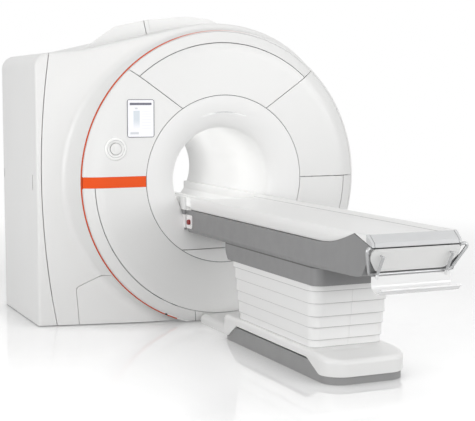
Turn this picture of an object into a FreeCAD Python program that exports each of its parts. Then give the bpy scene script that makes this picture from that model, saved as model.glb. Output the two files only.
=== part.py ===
import FreeCAD, Part
import math
import os

from FreeCAD import Vector

# Magnetic resonance scanner: a round-faced gantry with its patient table docked in front.
# Millimetres. X is across the bore, +Y runs from the table into the bore, +Z is up.
# The origin is on the floor, under the bore axis, in the plane of the gantry's front face.

# ---------------------------------------------------------------- driving dimensions
BORE_R = 350.0            # clear radius of the patient bore
ISO_Z = 979.0             # bore axis above the floor
SEAM = 5.0                # open joint between two covers
SKIN = 10.0               # wall of the moulded covers
FLOOR_GAP = 6.0           # covers stop this far above the floor

FLARE_R = 572.0           # seam between the funnel and the face panels
FACE_R = 925.0            # seam between the face panels and the rim covers
FACE_FLAT_R = 860.0       # the face is flat out to here, then rolls back
RIM_R = 999.0             # outer edge of the rolled rim
RIM_ROLL_R = 277.0        # radius of the roll
RING_R = 1012.0           # outer edge of the accent ring
RING_T = 12.0             # accent ring, across and deep
LIP_Y = 47.0              # front lip of the drum, which carries rim and ring
LIP_R = 985.0             # inner edge of that lip
DRUM_R = 1060.0           # drum where it meets the body
DRUM_TAPER = 0.236        # growth of the drum's radius per millimetre of depth
DRUM_BLEND_R = 60.0       # hollow blend between drum and body front

SIDE_X = 1242.0           # plain left side of the body
SHOULDER_Z = 1822.0       # top of the left side
SHOULDER_R = 95.0         # rounding of the left shoulder
SHOULDER_BEND_X = 950.0   # where the top line starts to climb to the drum
SHOULDER_CLIMB = 13.0     # degrees, tangent to the drum
PROW_FLAT_X = 500.0       # the body front is flat this far out, then raked back
PROW_FLAT_Y = 128.0
PROW_SIDE_Y = 289.0       # front corner of the plain side
BODY_REAR_Y = 1300.0
CORNER_R = 25.0           # front vertical corner of the body
REAR_EDGE_R = 80.0        # rounding around the body's rear
REAR_COVER_R = 940.0
GANTRY_REAR_Y = 1620.0

SIDE_SEAM = [(1103.0, 2100.0), (1209.0, 922.0), (1109.0, -60.0)]   # bowed seam of the side cover, x and z
PANEL_SEAM_DEG = 35.2     # slope of the two upper panel seams
PANEL_SEAM_Z = 263.5      # where those seams would cross, above the bore axis
BAND_H = 74.0             # accent band between the left panels
TOE_HALF_W = 160.0        # toe panel under the face

THROAT_Y = 95.0           # the funnel ends and the bore tube starts
TUBE_T = 6.0
FUNNEL_RIM = 20.0         # flat rim of both funnels
TUBE_END_Y = 1528.0
REAR_FLARE_R = 470.0
LASER_SLOT_R = 456.0      # curved window over the bore
LASER_SLOT_H = 10.0
LASER_SLOT_DEG = 21.0
INSERT_TOP_Z = 505.0      # top of the insert under the bore

DOME_FRONT_Y = 420.0
DOME_REAR_Y = 920.0
DOME_TAPER_X = 170.0      # the dome's left slope moves in by this much towards the rear
DOME_TAPER_Z = 40.0       # and its top comes down
DOME_SEAMS = [(-441.0, -397.0), (-407.0, -368.0)]   # x of its two seams at the two heights below
DOME_SEAM_Z = (2100.0, 1900.0)
DOME_OUTLINE = [          # x, z and rounding of the dome over the magnet's turret
    (-900.0, 1700.0, 0.0), (-872.0, 1862.0, 60.0), (-650.0, 2018.0, 40.0), (-422.0, 2069.0, 300.0),
    (-120.0, 2100.0, 500.0), (70.0, 2084.0, 90.0), (350.0, 1925.0, 30.0), (350.0, 1700.0, 0.0)]

DISPLAY_X, DISPLAY_Z = -608.5, 1397.5
DISPLAY_W, DISPLAY_H = 189.0, 251.0
DIAL_X, DIAL_Z = -784.0, 1199.0
DIAL_R = 77.0
DIAL_RING_R = 58.0
DIAL_BUTTON_R = 39.0

TABLE_TOP_Z = 866.0       # top of the tabletop's side rails
TABLETOP_Z = 780.0        # underside of the tabletop
TABLETOP_HALF_W = 281.0
TABLETOP_CORE_HALF_W = 247.0
TABLETOP_HEAD_Y = -12.0
TABLETOP_FOOT_Y = -2372.0
CAP_BEVEL_Y, CAP_BEVEL_Z = -2418.0, 828.0
CAP_FOOT_Y, CAP_FOOT_Z = -2427.0, 803.0
FOOT_HALF_W = 263.0       # tabletop and table body narrow to this at the foot end
TABLE_HALF_W = 284.0      # table body
TABLE_WALL = 12.0
TABLE_HEAD_Y = -8.0
TABLE_BOTTOM_Z = 628.0
CURVE_Y = -2053.0         # corner of the curve where the table body sweeps up to the foot end
CURVE_R = 1190.0
CURVE_END_Y, CURVE_END_Z = -2268.0, 862.0
END_TOP_Y, END_TOP_Z = -2422.0, 798.0     # leaning end face of the table body
END_FOOT_Y, END_FOOT_Z = -2338.0, 656.0
ESTOP_Y, ESTOP_Z = -72.0, 702.0
ESTOP_PLATE_Y = -54.0
ESTOP_R, ESTOP_STEM_R = 18.0, 8.0

TUB_TOP_Z, TUB_FOOT_Z = 628.0, 522.0
TUB_HALF_W = 266.0
TUB_FOOT_Y, TUB_HEAD_Y = -1830.0, -566.0
TUB_HEAD_LEAN = 84.0      # the tub's head end runs back by this much towards its foot
SKIRT_HALF_W = 230.0      # lowest skirt ring
SKIRT_FOOT_Y, SKIRT_HEAD_Y = -1720.0, -720.0
SKIRT_R = 52.0
SKIRT_STEP = 4.5          # each ring above is this much larger at the sides
SKIRT_END_STEP = 12.0     # and this much longer at each end
SKIRT_WALL = 3.0
SKIRT_OVERLAP = 15.0
SKIRT_SEAMS_Z = [160.0, 203.0, 274.0, 338.0, 412.0, 484.0]
BASE_TOP_Z = 160.0
BASE_HALF_W = 258.0
BASE_FOOT_Y, BASE_HEAD_Y = -1980.0, -560.0
DOCK_TOP_Z = 58.0         # low box between the base and the gantry
PLINTH_HALF_W = 246.0
PLINTH_FOOT_Y, PLINTH_HEAD_Y = -1965.0, -580.0
PLINTH_TOP_Z, PLINTH_FLOOR_Z = 100.0, 70.0

VESSEL_FRONT_Y, VESSEL_REAR_Y = 190.0, 1440.0
VESSEL_R_IN, VESSEL_R_OUT = 462.0, 915.0
TURRET_X, TURRET_Y = -250.0, 670.0
COIL_R = 380.0            # joint between the gradient coil and the radio-frequency coil

FAR = 3000.0              # reaches past everything


# ---------------------------------------------------------------- drawing helpers
def front_view(x, z):
    return Vector(x, 0, z)


def side_view(y, z):
    return Vector(0, y, z)


def plan_view(x, y):
    return Vector(x, y, 0)


def turning_view(r, y):
    return Vector(r, y, ISO_Z)


def face_of(plane, corners):
    """Face in a plane from corners (a, b) or (a, b, rounding radius)."""
    points = [plane(c[0], c[1]) for c in corners]
    radii = [c[2] if len(c) > 2 else 0.0 for c in corners]
    edges = []
    ends = []
    for i, corner in enumerate(points):
        before = (points[i - 1] - corner).normalize()
        after = (points[(i + 1) % len(points)] - corner).normalize()
        half_angle = before.getAngle(after) / 2
        if radii[i] == 0.0:
            ends.append((corner, corner))
            continue
        reach = radii[i] / math.tan(half_angle)
        start = corner + before * reach
        end = corner + after * reach
        bisector = (before + after).normalize()
        middle = corner + bisector * (radii[i] / math.sin(half_angle) - radii[i])
        ends.append((start, end))
        edges.append(Part.Arc(start, middle, end).toShape())
    for i in range(len(points)):
        start = ends[i][1]
        end = ends[(i + 1) % len(points)][0]
        if (end - start).Length > 1e-6:
            edges.append(Part.makeLine(start, end))
    return Part.Face(Part.Wire(Part.__sortEdges__(edges)))


def prism(face, start, length, axis):
    """Face pushed along a row axis from a start to a length."""
    direction = {"x": Vector(1, 0, 0), "y": Vector(0, 1, 0), "z": Vector(0, 0, 1)}[axis]
    solid = face.extrude(direction * length)
    solid.translate(direction * start)
    return solid


def region(corners, y_start=-FAR, length=2 * FAR):
    """Outline of the front view, run through the depth."""
    return prism(face_of(front_view, corners), y_start, length, "y")


def block(x_range, y_range, z_range):
    size = [high - low for low, high in (x_range, y_range, z_range)]
    return Part.makeBox(size[0], size[1], size[2], Vector(x_range[0], y_range[0], z_range[0]))


def turned(corners):
    """Outline of radius and depth, turned once around the bore axis."""
    return swept_round(face_of(turning_view, corners))


def swept_round(face):
    """Full turn around the bore axis; the closing line lies at the bottom."""
    bore_centre, along = Vector(0, 0, ISO_Z), Vector(0, 1, 0)
    return face.revolve(bore_centre, along, 360).rotate(bore_centre, along, 90)


def bore_disc(radius, y_start, y_end):
    return Part.makeCylinder(radius, y_end - y_start, Vector(0, y_start, ISO_Z), Vector(0, 1, 0))


def bore_pipe(r_in, r_out, y_start, y_end):
    return bore_disc(r_out, y_start, y_end).cut(bore_disc(r_in, y_start - 1, y_end + 1))


def rounded_slab(half_w, y_range, z_range, radius, corner_radii=None):
    """Upright slab with rounded corners in plan, centred on the bore axis."""
    radii = corner_radii or [radius] * 4
    low, high = y_range
    corners = [(-half_w, low, radii[0]), (half_w, low, radii[1]),
               (half_w, high, radii[2]), (-half_w, high, radii[3])]
    return prism(face_of(plan_view, corners), z_range[0], z_range[1] - z_range[0], "z")


def mirrored(shape):
    return shape.mirror(Vector(0, 0, 0), Vector(1, 0, 0))


def fused(shapes):
    return shapes[0].multiFuse(shapes[1:]).removeSplitter()


def above_floor(shape):
    return shape.common(block((-FAR, FAR), (-FAR, FAR), (FLOOR_GAP, FAR)))


def largest(shape):
    return max(shape.Solids, key=lambda solid: solid.Volume)


# ---------------------------------------------------------------- gantry: face panels
def face_shell():
    """Flat face with its rolled rim, one moulding thick, before the seams are cut."""
    inner_roll = RIM_ROLL_R - SKIN
    rim_rise = RIM_ROLL_R - math.sqrt(RIM_ROLL_R ** 2 - (RIM_R - FACE_FLAT_R) ** 2)
    back_r = RIM_R - SKIN
    back_rise = RIM_ROLL_R - math.sqrt(inner_roll ** 2 - (back_r - FACE_FLAT_R) ** 2)
    half_turn = math.asin((RIM_R - FACE_FLAT_R) / RIM_ROLL_R) / 2
    inner_half_turn = math.asin((back_r - FACE_FLAT_R) / inner_roll) / 2

    def roll_point(radius, angle):
        return turning_view(FACE_FLAT_R + radius * math.sin(angle),
                            RIM_ROLL_R - radius * math.cos(angle))

    start_r = FLARE_R + SEAM / 2
    outline = [
        Part.makeLine(turning_view(start_r, 0), turning_view(FACE_FLAT_R, 0)),
        Part.Arc(turning_view(FACE_FLAT_R, 0), roll_point(RIM_ROLL_R, half_turn),
                 turning_view(RIM_R, rim_rise)).toShape(),
        Part.makeLine(turning_view(RIM_R, rim_rise), turning_view(RIM_R, LIP_Y)),
        Part.makeLine(turning_view(RIM_R, LIP_Y), turning_view(back_r, LIP_Y)),
        Part.makeLine(turning_view(back_r, LIP_Y), turning_view(back_r, back_rise)),
        Part.Arc(turning_view(back_r, back_rise), roll_point(inner_roll, inner_half_turn),
                 turning_view(FACE_FLAT_R, SKIN)).toShape(),
        Part.makeLine(turning_view(FACE_FLAT_R, SKIN), turning_view(start_r, SKIN)),
        Part.makeLine(turning_view(start_r, SKIN), turning_view(start_r, 0))]
    return above_floor(swept_round(Part.Face(Part.Wire(outline))))


def upper_seam_region(offset):
    """Everything above the two sloping seams, moved up by the offset."""
    apex_z = ISO_Z + PANEL_SEAM_Z + offset / math.cos(math.radians(PANEL_SEAM_DEG))
    climb = FAR * math.tan(math.radians(PANEL_SEAM_DEG))
    return region([(0, apex_z), (FAR, apex_z + climb), (FAR, 2 * FAR),
                   (-FAR, 2 * FAR), (-FAR, apex_z + climb)])


def side_region(side, z_low, z_high=FAR):
    x_low, x_high = (-FAR, 0) if side < 0 else (0, FAR)
    return block((x_low, x_high), (-FAR, FAR), (z_low, z_high))


def face_panels():
    shell = face_shell()
    round_seam = bore_pipe(FACE_R - SEAM / 2, FACE_R + SEAM / 2, -FAR, FAR)
    inner = bore_disc(FACE_R, -FAR, FAR)
    seamed = shell.cut(round_seam)
    half = SEAM / 2
    band_half = BAND_H / 2

    over = upper_seam_region(half)
    under = shell.cut(upper_seam_region(-half))
    top = seamed.common(over)
    left = under.common(side_region(-1, ISO_Z + band_half))
    right = under.common(side_region(1, ISO_Z + half))
    lower_left_space = side_region(-1, -FAR, ISO_Z - band_half)
    lower_right_space = side_region(1, -FAR, ISO_Z - half)
    lower = seamed.common(lower_left_space.fuse(lower_right_space))
    rim = shell.cut(bore_disc(FACE_R + half, -FAR, FAR))
    beside_toe = TOE_HALF_W + SEAM
    toe_space = block((-TOE_HALF_W, TOE_HALF_W), (-FAR, FAR), (-FAR, ISO_Z / 2))

    display_hole = control_hole(DISPLAY_X, DISPLAY_Z, DISPLAY_W - 16, DISPLAY_H - 16)
    dial_hole = Part.makeCylinder(DIAL_R - 5, 4 * SKIN, Vector(DIAL_X, -SKIN, DIAL_Z), Vector(0, 1, 0))
    return {
        "front_panel_top": top.common(inner),
        "rim_cover_top": top.cut(inner),
        "front_panel_left": left.cut(display_hole).cut(dial_hole),
        "front_panel_right": right,
        "front_panel_lower": lower.common(inner),
        "rim_cover_lower_left": rim.common(
            block((-FAR, -beside_toe), (-FAR, FAR), (-FAR, ISO_Z - band_half))),
        "rim_cover_lower_right": rim.common(
            block((beside_toe, FAR), (-FAR, FAR), (-FAR, ISO_Z - half))),
        "toe_panel": rim.common(toe_space),
        "accent_band": accent_band(shell),
    }


def accent_band(shell):
    """Coloured strip between the left panels; it follows the rolled rim."""
    gap = 1.0
    strip = block((-FAR, 0), (-FAR, FAR), (ISO_Z - BAND_H / 2 + gap, ISO_Z + BAND_H / 2 - gap))
    return shell.common(strip)


def accent_ring():
    bevel = 3.0
    front_y, inner_r = LIP_Y - RING_T, RING_R - RING_T
    ring = turned([(inner_r, front_y + bevel), (inner_r + bevel, front_y), (RING_R - bevel, front_y),
                   (RING_R, front_y + bevel), (RING_R, LIP_Y), (inner_r, LIP_Y)])
    return above_floor(ring)


# ---------------------------------------------------------------- gantry: controls
def control_hole(x, z, width, height):
    corners = [(x - width / 2, z - height / 2, 8), (x + width / 2, z - height / 2, 8),
               (x + width / 2, z + height / 2, 8), (x - width / 2, z + height / 2, 8)]
    return region(corners, -SKIN, 4 * SKIN)


def display():
    """Touch display: a framed housing let into the left panel, and its glass."""
    half_w, half_h = DISPLAY_W / 2, DISPLAY_H / 2

    def plate(inset, y_start, length, radius):
        x_low, x_high = DISPLAY_X - half_w + inset, DISPLAY_X + half_w - inset
        z_low, z_high = DISPLAY_Z - half_h + inset, DISPLAY_Z + half_h - inset
        return region([(x_low, z_low, radius), (x_high, z_low, radius),
                       (x_high, z_high, radius), (x_low, z_high, radius)], y_start, length)

    frame_front, glass_back, housing_back = -2.5, -0.5, 40.0
    flange = plate(0, frame_front, -frame_front, 16)
    housing = plate(9, -0.5, housing_back, 8)
    glass_pocket = plate(4, frame_front - 1, glass_back - frame_front + 1, 10)
    bezel = flange.fuse(housing).cut(glass_pocket)
    glass = plate(4.0, -1.5, glass_back + 1.5, 10)
    return {"display_bezel": bezel.removeSplitter(), "display_screen": glass.removeSplitter()}


def dial():
    """Jog dial: a fixed cup, the ring that turns in it, and a push button in the middle."""
    centre = Vector(DIAL_X, 0, DIAL_Z)

    def turned_here(corners):
        face = face_of(lambda r, y: Vector(DIAL_X + r, y, DIAL_Z), corners)
        return face.revolve(centre, Vector(0, 1, 0), 360)

    play = 1.0
    shelf_y, cup_floor_y, cup_back_y = 14.0, 26.0, 32.0
    guide_r_in, guide_r_out, guide_y = 12.5, 20.0, 10.0
    bore_r = DIAL_RING_R + play
    cup = turned_here([(bore_r, -7, 2), (DIAL_R - 8, -7, 5), (DIAL_R, 0), (DIAL_R - 5.5, 0),
                       (DIAL_R - 5.5, cup_back_y), (0, cup_back_y), (0, cup_floor_y),
                       (guide_r_in, cup_floor_y), (guide_r_in, guide_y), (guide_r_out, guide_y),
                       (guide_r_out, cup_floor_y), (DIAL_BUTTON_R + 5, cup_floor_y),
                       (DIAL_BUTTON_R + 5, shelf_y), (bore_r, shelf_y)])
    ring = turned_here([(DIAL_BUTTON_R + play, -4, 2), (DIAL_RING_R, -9, 4), (DIAL_RING_R, shelf_y),
                        (DIAL_BUTTON_R + play, shelf_y)])
    button = turned_here([(0, -12), (DIAL_BUTTON_R, -10, 5), (DIAL_BUTTON_R, 5), (12, 5), (12, 19), (0, 19)])
    return {"dial_bezel": cup, "dial_ring": ring, "dial_button": button}


# ---------------------------------------------------------------- gantry: funnels and bore
def quarter_ellipse(flat_r, y_flat, throat_r, y_throat):
    """Curve of the funnel, tangent to its flat rim and to the bore."""
    centre = turning_view(flat_r, y_throat)
    ellipse = Part.Ellipse(turning_view(throat_r, y_throat), turning_view(flat_r, y_flat), centre)
    return Part.ArcOfEllipse(ellipse, 0, math.pi / 2).toShape()


def funnel_shell(outer_r, y_outer, y_throat):
    """Trumpet from the face to the throat: a flat rim, then a quarter ellipse into the bore."""
    flat_r = outer_r - FUNNEL_RIM
    y_back = y_outer + math.copysign(SKIN, y_throat - y_outer)
    socket_r = BORE_R + TUBE_T
    outline = [
        Part.makeLine(turning_view(outer_r, y_outer), turning_view(flat_r, y_outer)),
        quarter_ellipse(flat_r, y_outer, BORE_R, y_throat),
        Part.makeLine(turning_view(BORE_R, y_throat), turning_view(socket_r, y_throat)),
        quarter_ellipse(flat_r, y_back, socket_r, y_throat),
        Part.makeLine(turning_view(flat_r, y_back), turning_view(outer_r, y_back)),
        Part.makeLine(turning_view(outer_r, y_back), turning_view(outer_r, y_outer))]
    return swept_round(Part.Face(Part.Wire(Part.__sortEdges__(outline))))


def funnel_space(clearance):
    """Open space of the front funnel and the start of the bore, drawn in by a clearance."""
    flat_r = FLARE_R - SEAM / 2 - FUNNEL_RIM
    bore_r = BORE_R - clearance
    y_front, y_rear = -clearance, THROAT_Y + 200
    outline = [
        Part.makeLine(turning_view(0, y_front), turning_view(flat_r, y_front)),
        quarter_ellipse(flat_r, y_front, bore_r, THROAT_Y),
        Part.makeLine(turning_view(bore_r, THROAT_Y), turning_view(bore_r, y_rear)),
        Part.makeLine(turning_view(bore_r, y_rear), turning_view(0, y_rear)),
        Part.makeLine(turning_view(0, y_rear), turning_view(0, y_front))]
    return swept_round(Part.Face(Part.Wire(Part.__sortEdges__(outline))))


def laser_slot(r_low, r_high, y_start, y_end, half_deg):
    """Curved slot over the bore, centred on the top."""
    ring = bore_pipe(r_low, r_high, y_start, y_end)
    reach = FAR * math.tan(math.radians(half_deg))
    return ring.common(region([(0, ISO_Z), (reach, ISO_Z + FAR), (-reach, ISO_Z + FAR)]))


def funnels():
    front = funnel_shell(FLARE_R - SEAM / 2, 0.0, THROAT_Y)
    half_slot = LASER_SLOT_H / 2
    slot = laser_slot(LASER_SLOT_R - half_slot, LASER_SLOT_R + half_slot, -20, 80, LASER_SLOT_DEG)
    window_y, window_t = 14.5, 4.0
    window = laser_slot(LASER_SLOT_R - half_slot, LASER_SLOT_R + half_slot, window_y, window_y + window_t,
                        LASER_SLOT_DEG)
    half_seam = SEAM / 2
    lower_space = block((-FAR, FAR), (-FAR, FAR), (-FAR, INSERT_TOP_Z - half_seam))
    upper_space = block((-FAR, FAR), (-FAR, FAR), (INSERT_TOP_Z + half_seam, FAR))
    return {
        "flare_front": front.cut(slot).common(upper_space),
        "flare_lower_insert": front.common(lower_space),
        "laser_window": window,
        "flare_rear": funnel_shell(REAR_FLARE_R - SEAM / 2, GANTRY_REAR_Y, TUBE_END_Y),
        "bore_tube": bore_pipe(BORE_R, BORE_R + TUBE_T, THROAT_Y, TUBE_END_Y),
    }


def bore_bridge():
    """Moulded bridge in the bottom of the bore: deck, slide rails and the ledges beside the tabletop."""
    deck_z, ledge_z, hollow_z = 764.0, 858.0, 750.0
    ledge_x = TABLETOP_HALF_W + 10
    y_front, y_rear = THROAT_Y + 4, TUBE_END_Y - 10
    bed = bore_disc(BORE_R, y_front, y_rear)
    section = region([(-FAR, 0), (FAR, 0), (FAR, ledge_z), (ledge_x, ledge_z, 6), (ledge_x, 798, 12),
                      (262, deck_z), (-262, deck_z), (-ledge_x, 798, 12), (-ledge_x, ledge_z, 6),
                      (-FAR, ledge_z)])
    hollow = bore_disc(BORE_R - 12, y_front - 1, y_rear + 1).common(
        block((-FAR, FAR), (-FAR, FAR), (0, hollow_z)))
    web = block((-8, 8), (y_front, y_rear), (ISO_Z - BORE_R + 6, hollow_z + 1))
    rails = [block((x - 20, x + 20), (y_front, y_rear), (deck_z - 1, TABLETOP_Z - 1)) for x in (-165, 165)]
    return fused([bed.common(section).cut(hollow), web] + rails + bridge_cheeks())


def bridge_cheeks():
    """Cheeks of the bridge, which reach out through the funnel to the head end of the table."""
    play, cheek_t, foot_z, ledge_overlap = 3.5, 15.0, 645.0, 60.0
    inner_x = TABLETOP_HALF_W + play
    cheek = block((inner_x, inner_x + cheek_t), (2, THROAT_Y + ledge_overlap), (foot_z, TABLE_TOP_Z))
    cheek = largest(cheek.common(funnel_space(1.5)))
    return [cheek, mirrored(cheek)]


# ---------------------------------------------------------------- gantry: body covers
def body_outline(inset):
    """Front view of the body: plain left side, climbing shoulder, and the drum's own curve on the right."""
    climb = math.tan(math.radians(SHOULDER_CLIMB))
    angle = math.radians(SHOULDER_CLIMB)
    radius = DRUM_R - inset
    tangent_x, tangent_z = -radius * math.sin(angle), ISO_Z + radius * math.cos(angle)
    peak_z = tangent_z + (radius - tangent_x) * climb
    bend_z = tangent_z - (SHOULDER_BEND_X + tangent_x) * climb
    foot_z = FLOOR_GAP if inset == 0 else -SKIN
    return [(-SIDE_X + inset, foot_z), (-SIDE_X + inset, SHOULDER_Z - inset, SHOULDER_R - inset),
            (-SHOULDER_BEND_X, bend_z, 400), (radius, peak_z, radius), (radius, foot_z)]


def body_form(inset):
    """Outer form of drum and body, drawn in by the inset on every side but the floor."""
    slope = (PROW_SIDE_Y - PROW_FLAT_Y) / (SIDE_X - PROW_FLAT_X)
    flat_y = PROW_FLAT_Y + inset
    wide_y = flat_y + (FAR - PROW_FLAT_X) * slope
    prow = prism(face_of(plan_view, [(-FAR, wide_y), (-PROW_FLAT_X, flat_y, 900), (PROW_FLAT_X, flat_y, 900),
                                     (FAR, wide_y), (FAR, FAR), (-FAR, FAR)]), -FAR, 3 * FAR, "z")
    taper_end = 700.0
    drum = turned([(0, LIP_Y + inset), (RING_R - inset, LIP_Y + inset),
                   (RING_R - inset + DRUM_TAPER * (taper_end - LIP_Y), taper_end + inset),
                     (0, taper_end + inset)])
    core = prow.fuse(drum)
    if inset == 0:
        core = blended_drum(core)
    length = BODY_REAR_Y - inset
    outline = prism(face_of(front_view, body_outline(inset)), 0, length, "y")
    rear_edges = [edge for edge in outline.Edges
                  if abs(edge.BoundBox.YMin - length) < 1 and abs(edge.BoundBox.YMax - length) < 1
                  and edge.BoundBox.ZMax > FLOOR_GAP + 1]
    outline = outline.makeFillet(REAR_EDGE_R - inset, rear_edges)
    form = outline.common(core)
    corner = [edge for edge in form.Edges
              if abs(edge.BoundBox.XMin + SIDE_X - inset) < 0.5
              and abs(edge.BoundBox.XMax + SIDE_X - inset) < 0.5
              and edge.BoundBox.ZLength > 1000 and edge.BoundBox.YMin < PROW_SIDE_Y + 3 * SKIN]
    return form.makeFillet(CORNER_R - inset, corner)


def blended_drum(core):
    """Roll a hollow blend around the drum, where it stands out of the body front."""
    root = []
    for edge in core.Edges:
        middle = edge.valueAt((edge.FirstParameter + edge.LastParameter) / 2)
        radius = math.hypot(middle.x, middle.z - ISO_Z)
        if RING_R + 2 < radius < RING_R + 120 and PROW_FLAT_Y - 20 < middle.y < 400:
            root.append(edge)
    return core.makeFillet(DRUM_BLEND_R, root)


def side_seam_region(offset):
    """Everything left of the bowed seam, moved to the left by the offset."""
    high, middle, low = [Vector(-x - offset, 0, z) for x, z in SIDE_SEAM]
    outer_low, outer_high = Vector(-FAR, 0, low.z), Vector(-FAR, 0, high.z)
    edges = [Part.Arc(low, middle, high).toShape(), Part.makeLine(high, outer_high),
             Part.makeLine(outer_high, outer_low), Part.makeLine(outer_low, low)]
    return prism(Part.Face(Part.Wire(edges)), -FAR, 2 * FAR, "y")


def access_region(offset):
    """Lower left access panel on the body front, drawn in by the offset."""
    drop = offset * 1.1
    corners = [(-600, 445 - drop), (-993 + offset, 255 - drop, 30), (-969 + offset, -60), (-50, -60)]
    front_y = LIP_Y + 2 * SKIN + offset
    return region(corners, front_y, PROW_SIDE_Y + 2 * SKIN - front_y)


def body_covers():
    outer = body_form(0)
    inner = body_form(SKIN)
    backing_wall = 4.0
    liner = inner.cut(body_form(SKIN + backing_wall)).cut(bore_disc(RING_R, 0, LIP_Y + 4 * SKIN))
    face_opening = bore_disc(LIP_R, -FAR, LIP_Y + SKIN + 20)
    rear_opening = bore_disc(REAR_COVER_R + 2, BODY_REAR_Y - 3 * SKIN, FAR)
    turret_opening = Part.makeCylinder(170, FAR, Vector(TURRET_X, TURRET_Y, ISO_Z))
    shell = outer.cut(inner).cut(face_opening).cut(rear_opening).cut(turret_opening)

    half = SEAM / 2
    backing = 22.0
    lining = above_floor(liner)
    side_backing = lining.common(side_seam_region(-backing)).cut(side_seam_region(half))
    side_cover = shell.common(side_seam_region(half)).fuse(largest(side_backing))
    front_cover = shell.cut(side_seam_region(-half)).cut(access_region(-SEAM))
    access_panel = largest(shell.common(access_region(0)))
    access_backing = lining.common(access_region(-backing)).cut(access_region(backing))
    front_cover = largest(front_cover).fuse(largest(access_backing))

    slot_half_w = 8.0
    for y, z, half_h in ((390, 966, 50), (1205, 985, 34)):
        slot = block((-SIDE_X - 5, -SIDE_X + SKIN + 5), (y - slot_half_w, y + slot_half_w),
                     (z - half_h, z + half_h))
        side_cover = side_cover.cut(slot)
    return {"body_cover_front": largest(front_cover.removeSplitter()),
            "side_cover_left": largest(side_cover.removeSplitter()),
            "access_panel": access_panel}, outer


def dome_form(inset):
    """Low dome that narrows towards the rear, drawn in by the inset."""
    def outline(y, slope_shift, drop):
        corners = []
        for x, z, radius in DOME_OUTLINE:
            left_slope = x < DOME_SEAMS[0][0] - 100
            side = 1 if x < 0 and left_slope else (-1 if x > 0 else 0)
            corners.append((x + inset * side + (slope_shift if left_slope else 0), z - inset - drop, radius))
        return face_of(lambda a, b: Vector(a, y, b), corners).OuterWire

    front = outline(DOME_FRONT_Y + inset, 0.0, 0.0)
    rear = outline(DOME_REAR_Y - inset, DOME_TAPER_X, DOME_TAPER_Z)
    return Part.makeLoft([front, rear], True, True)


def dome_strip(seam, low, high):
    """Slanted slice of space beside one of the dome's seams, between two offsets from it."""
    top_x, foot_x = seam
    lean = (foot_x - top_x) / (DOME_SEAM_Z[0] - DOME_SEAM_Z[1])
    top_z, foot_z = DOME_SEAM_Z[0] + 100, DOME_SEAM_Z[1] - 400
    upper_x, lower_x = top_x - lean * 100, foot_x + lean * 400
    return region([(lower_x + low, foot_z), (lower_x + high, foot_z), (upper_x + high, top_z),
                   (upper_x + low, top_z)])


def dome_covers(body):
    """Two covers over the magnet's turret, seated on the body's top; the right one has a scored line."""
    outer = dome_form(0)
    shell = outer.cut(dome_form(SKIN)).cut(body)
    joint, scored = DOME_SEAMS
    score_depth, half_score = 3.0, 1.8
    score = outer.cut(dome_form(score_depth)).common(dome_strip(scored, -half_score, half_score))
    left = shell.common(dome_strip(joint, -FAR, -SEAM / 2))
    right = shell.common(dome_strip(joint, SEAM / 2, FAR)).cut(score)
    return {"dome_cover_left": largest(left), "dome_cover_right": largest(right)}


def rear_cover():
    """Round rear housing: one flange sits inside the body, the other carries the rear funnel."""
    hub_r = REAR_FLARE_R + SEAM / 2
    y_foot = BODY_REAR_Y - SKIN
    corner_r = REAR_COVER_R - 30
    outer = turned([(0, y_foot), (REAR_COVER_R, y_foot), (corner_r, GANTRY_REAR_Y, 70), (0, GANTRY_REAR_Y)])
    inner = turned([(0, y_foot - 1), (REAR_COVER_R - SKIN, y_foot - 1),
                    (corner_r - SKIN, GANTRY_REAR_Y - SKIN, 60), (0, GANTRY_REAR_Y - SKIN)])
    shell = outer.cut(inner).cut(bore_disc(hub_r, 0, FAR))
    flange = bore_pipe(REAR_COVER_R - SKIN, REAR_COVER_R + 30, y_foot - 8, y_foot)
    seat = bore_pipe(REAR_FLARE_R - SEAM / 2 - FUNNEL_RIM + 2, hub_r + 14, GANTRY_REAR_Y - 2 * SKIN,
                     GANTRY_REAR_Y - SKIN)
    return above_floor(fused([shell, flange, seat]))


# ---------------------------------------------------------------- gantry: frame and magnet
def front_frame():
    """Welded ring frame that carries the face panels on the magnet's front."""
    deep_y = 70.0
    hoops = [bore_pipe(FLARE_R - SEAM / 2 - FUNNEL_RIM + 1, 620, SKIN, deep_y),
             bore_pipe(820, 856, SKIN, deep_y), bore_pipe(960, 1000, LIP_Y + SKIN, deep_y)]
    spoke_deg = 45.0
    spokes = []
    posts = []
    for k in range(8):
        spoke = block((590, 980), (LIP_Y, deep_y), (ISO_Z - 18, ISO_Z + 18))
        spokes.append(spoke.rotate(Vector(0, 0, ISO_Z), Vector(0, 1, 0), spoke_deg * (k + 0.5)))
        post_start = Vector(838, deep_y - 1, ISO_Z)
        post = Part.makeCylinder(14, VESSEL_FRONT_Y - deep_y + 1, post_start, Vector(0, 1, 0))
        posts.append(post.rotate(Vector(0, 0, ISO_Z), Vector(0, 1, 0), spoke_deg * k))
    play = 4.0
    half_w, half_h = DISPLAY_W / 2 + play, DISPLAY_H / 2 + play
    display_space = block((DISPLAY_X - half_w, DISPLAY_X + half_w), (0, LIP_Y),
                          (DISPLAY_Z - half_h, DISPLAY_Z + half_h))
    dial_space = Part.makeCylinder(DIAL_R + play, LIP_Y, Vector(DIAL_X, 0, DIAL_Z), Vector(0, 1, 0))
    return above_floor(fused(hoops + spokes + posts).cut(display_space).cut(dial_space))


def hollow_ring(r_in, r_out, y_start, y_end, wall):
    """Closed ring vessel with a hollow inside."""
    outside = bore_pipe(r_in, r_out, y_start, y_end)
    return outside.cut(bore_pipe(r_in + wall, r_out - wall, y_start + wall, y_end - wall))


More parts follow.
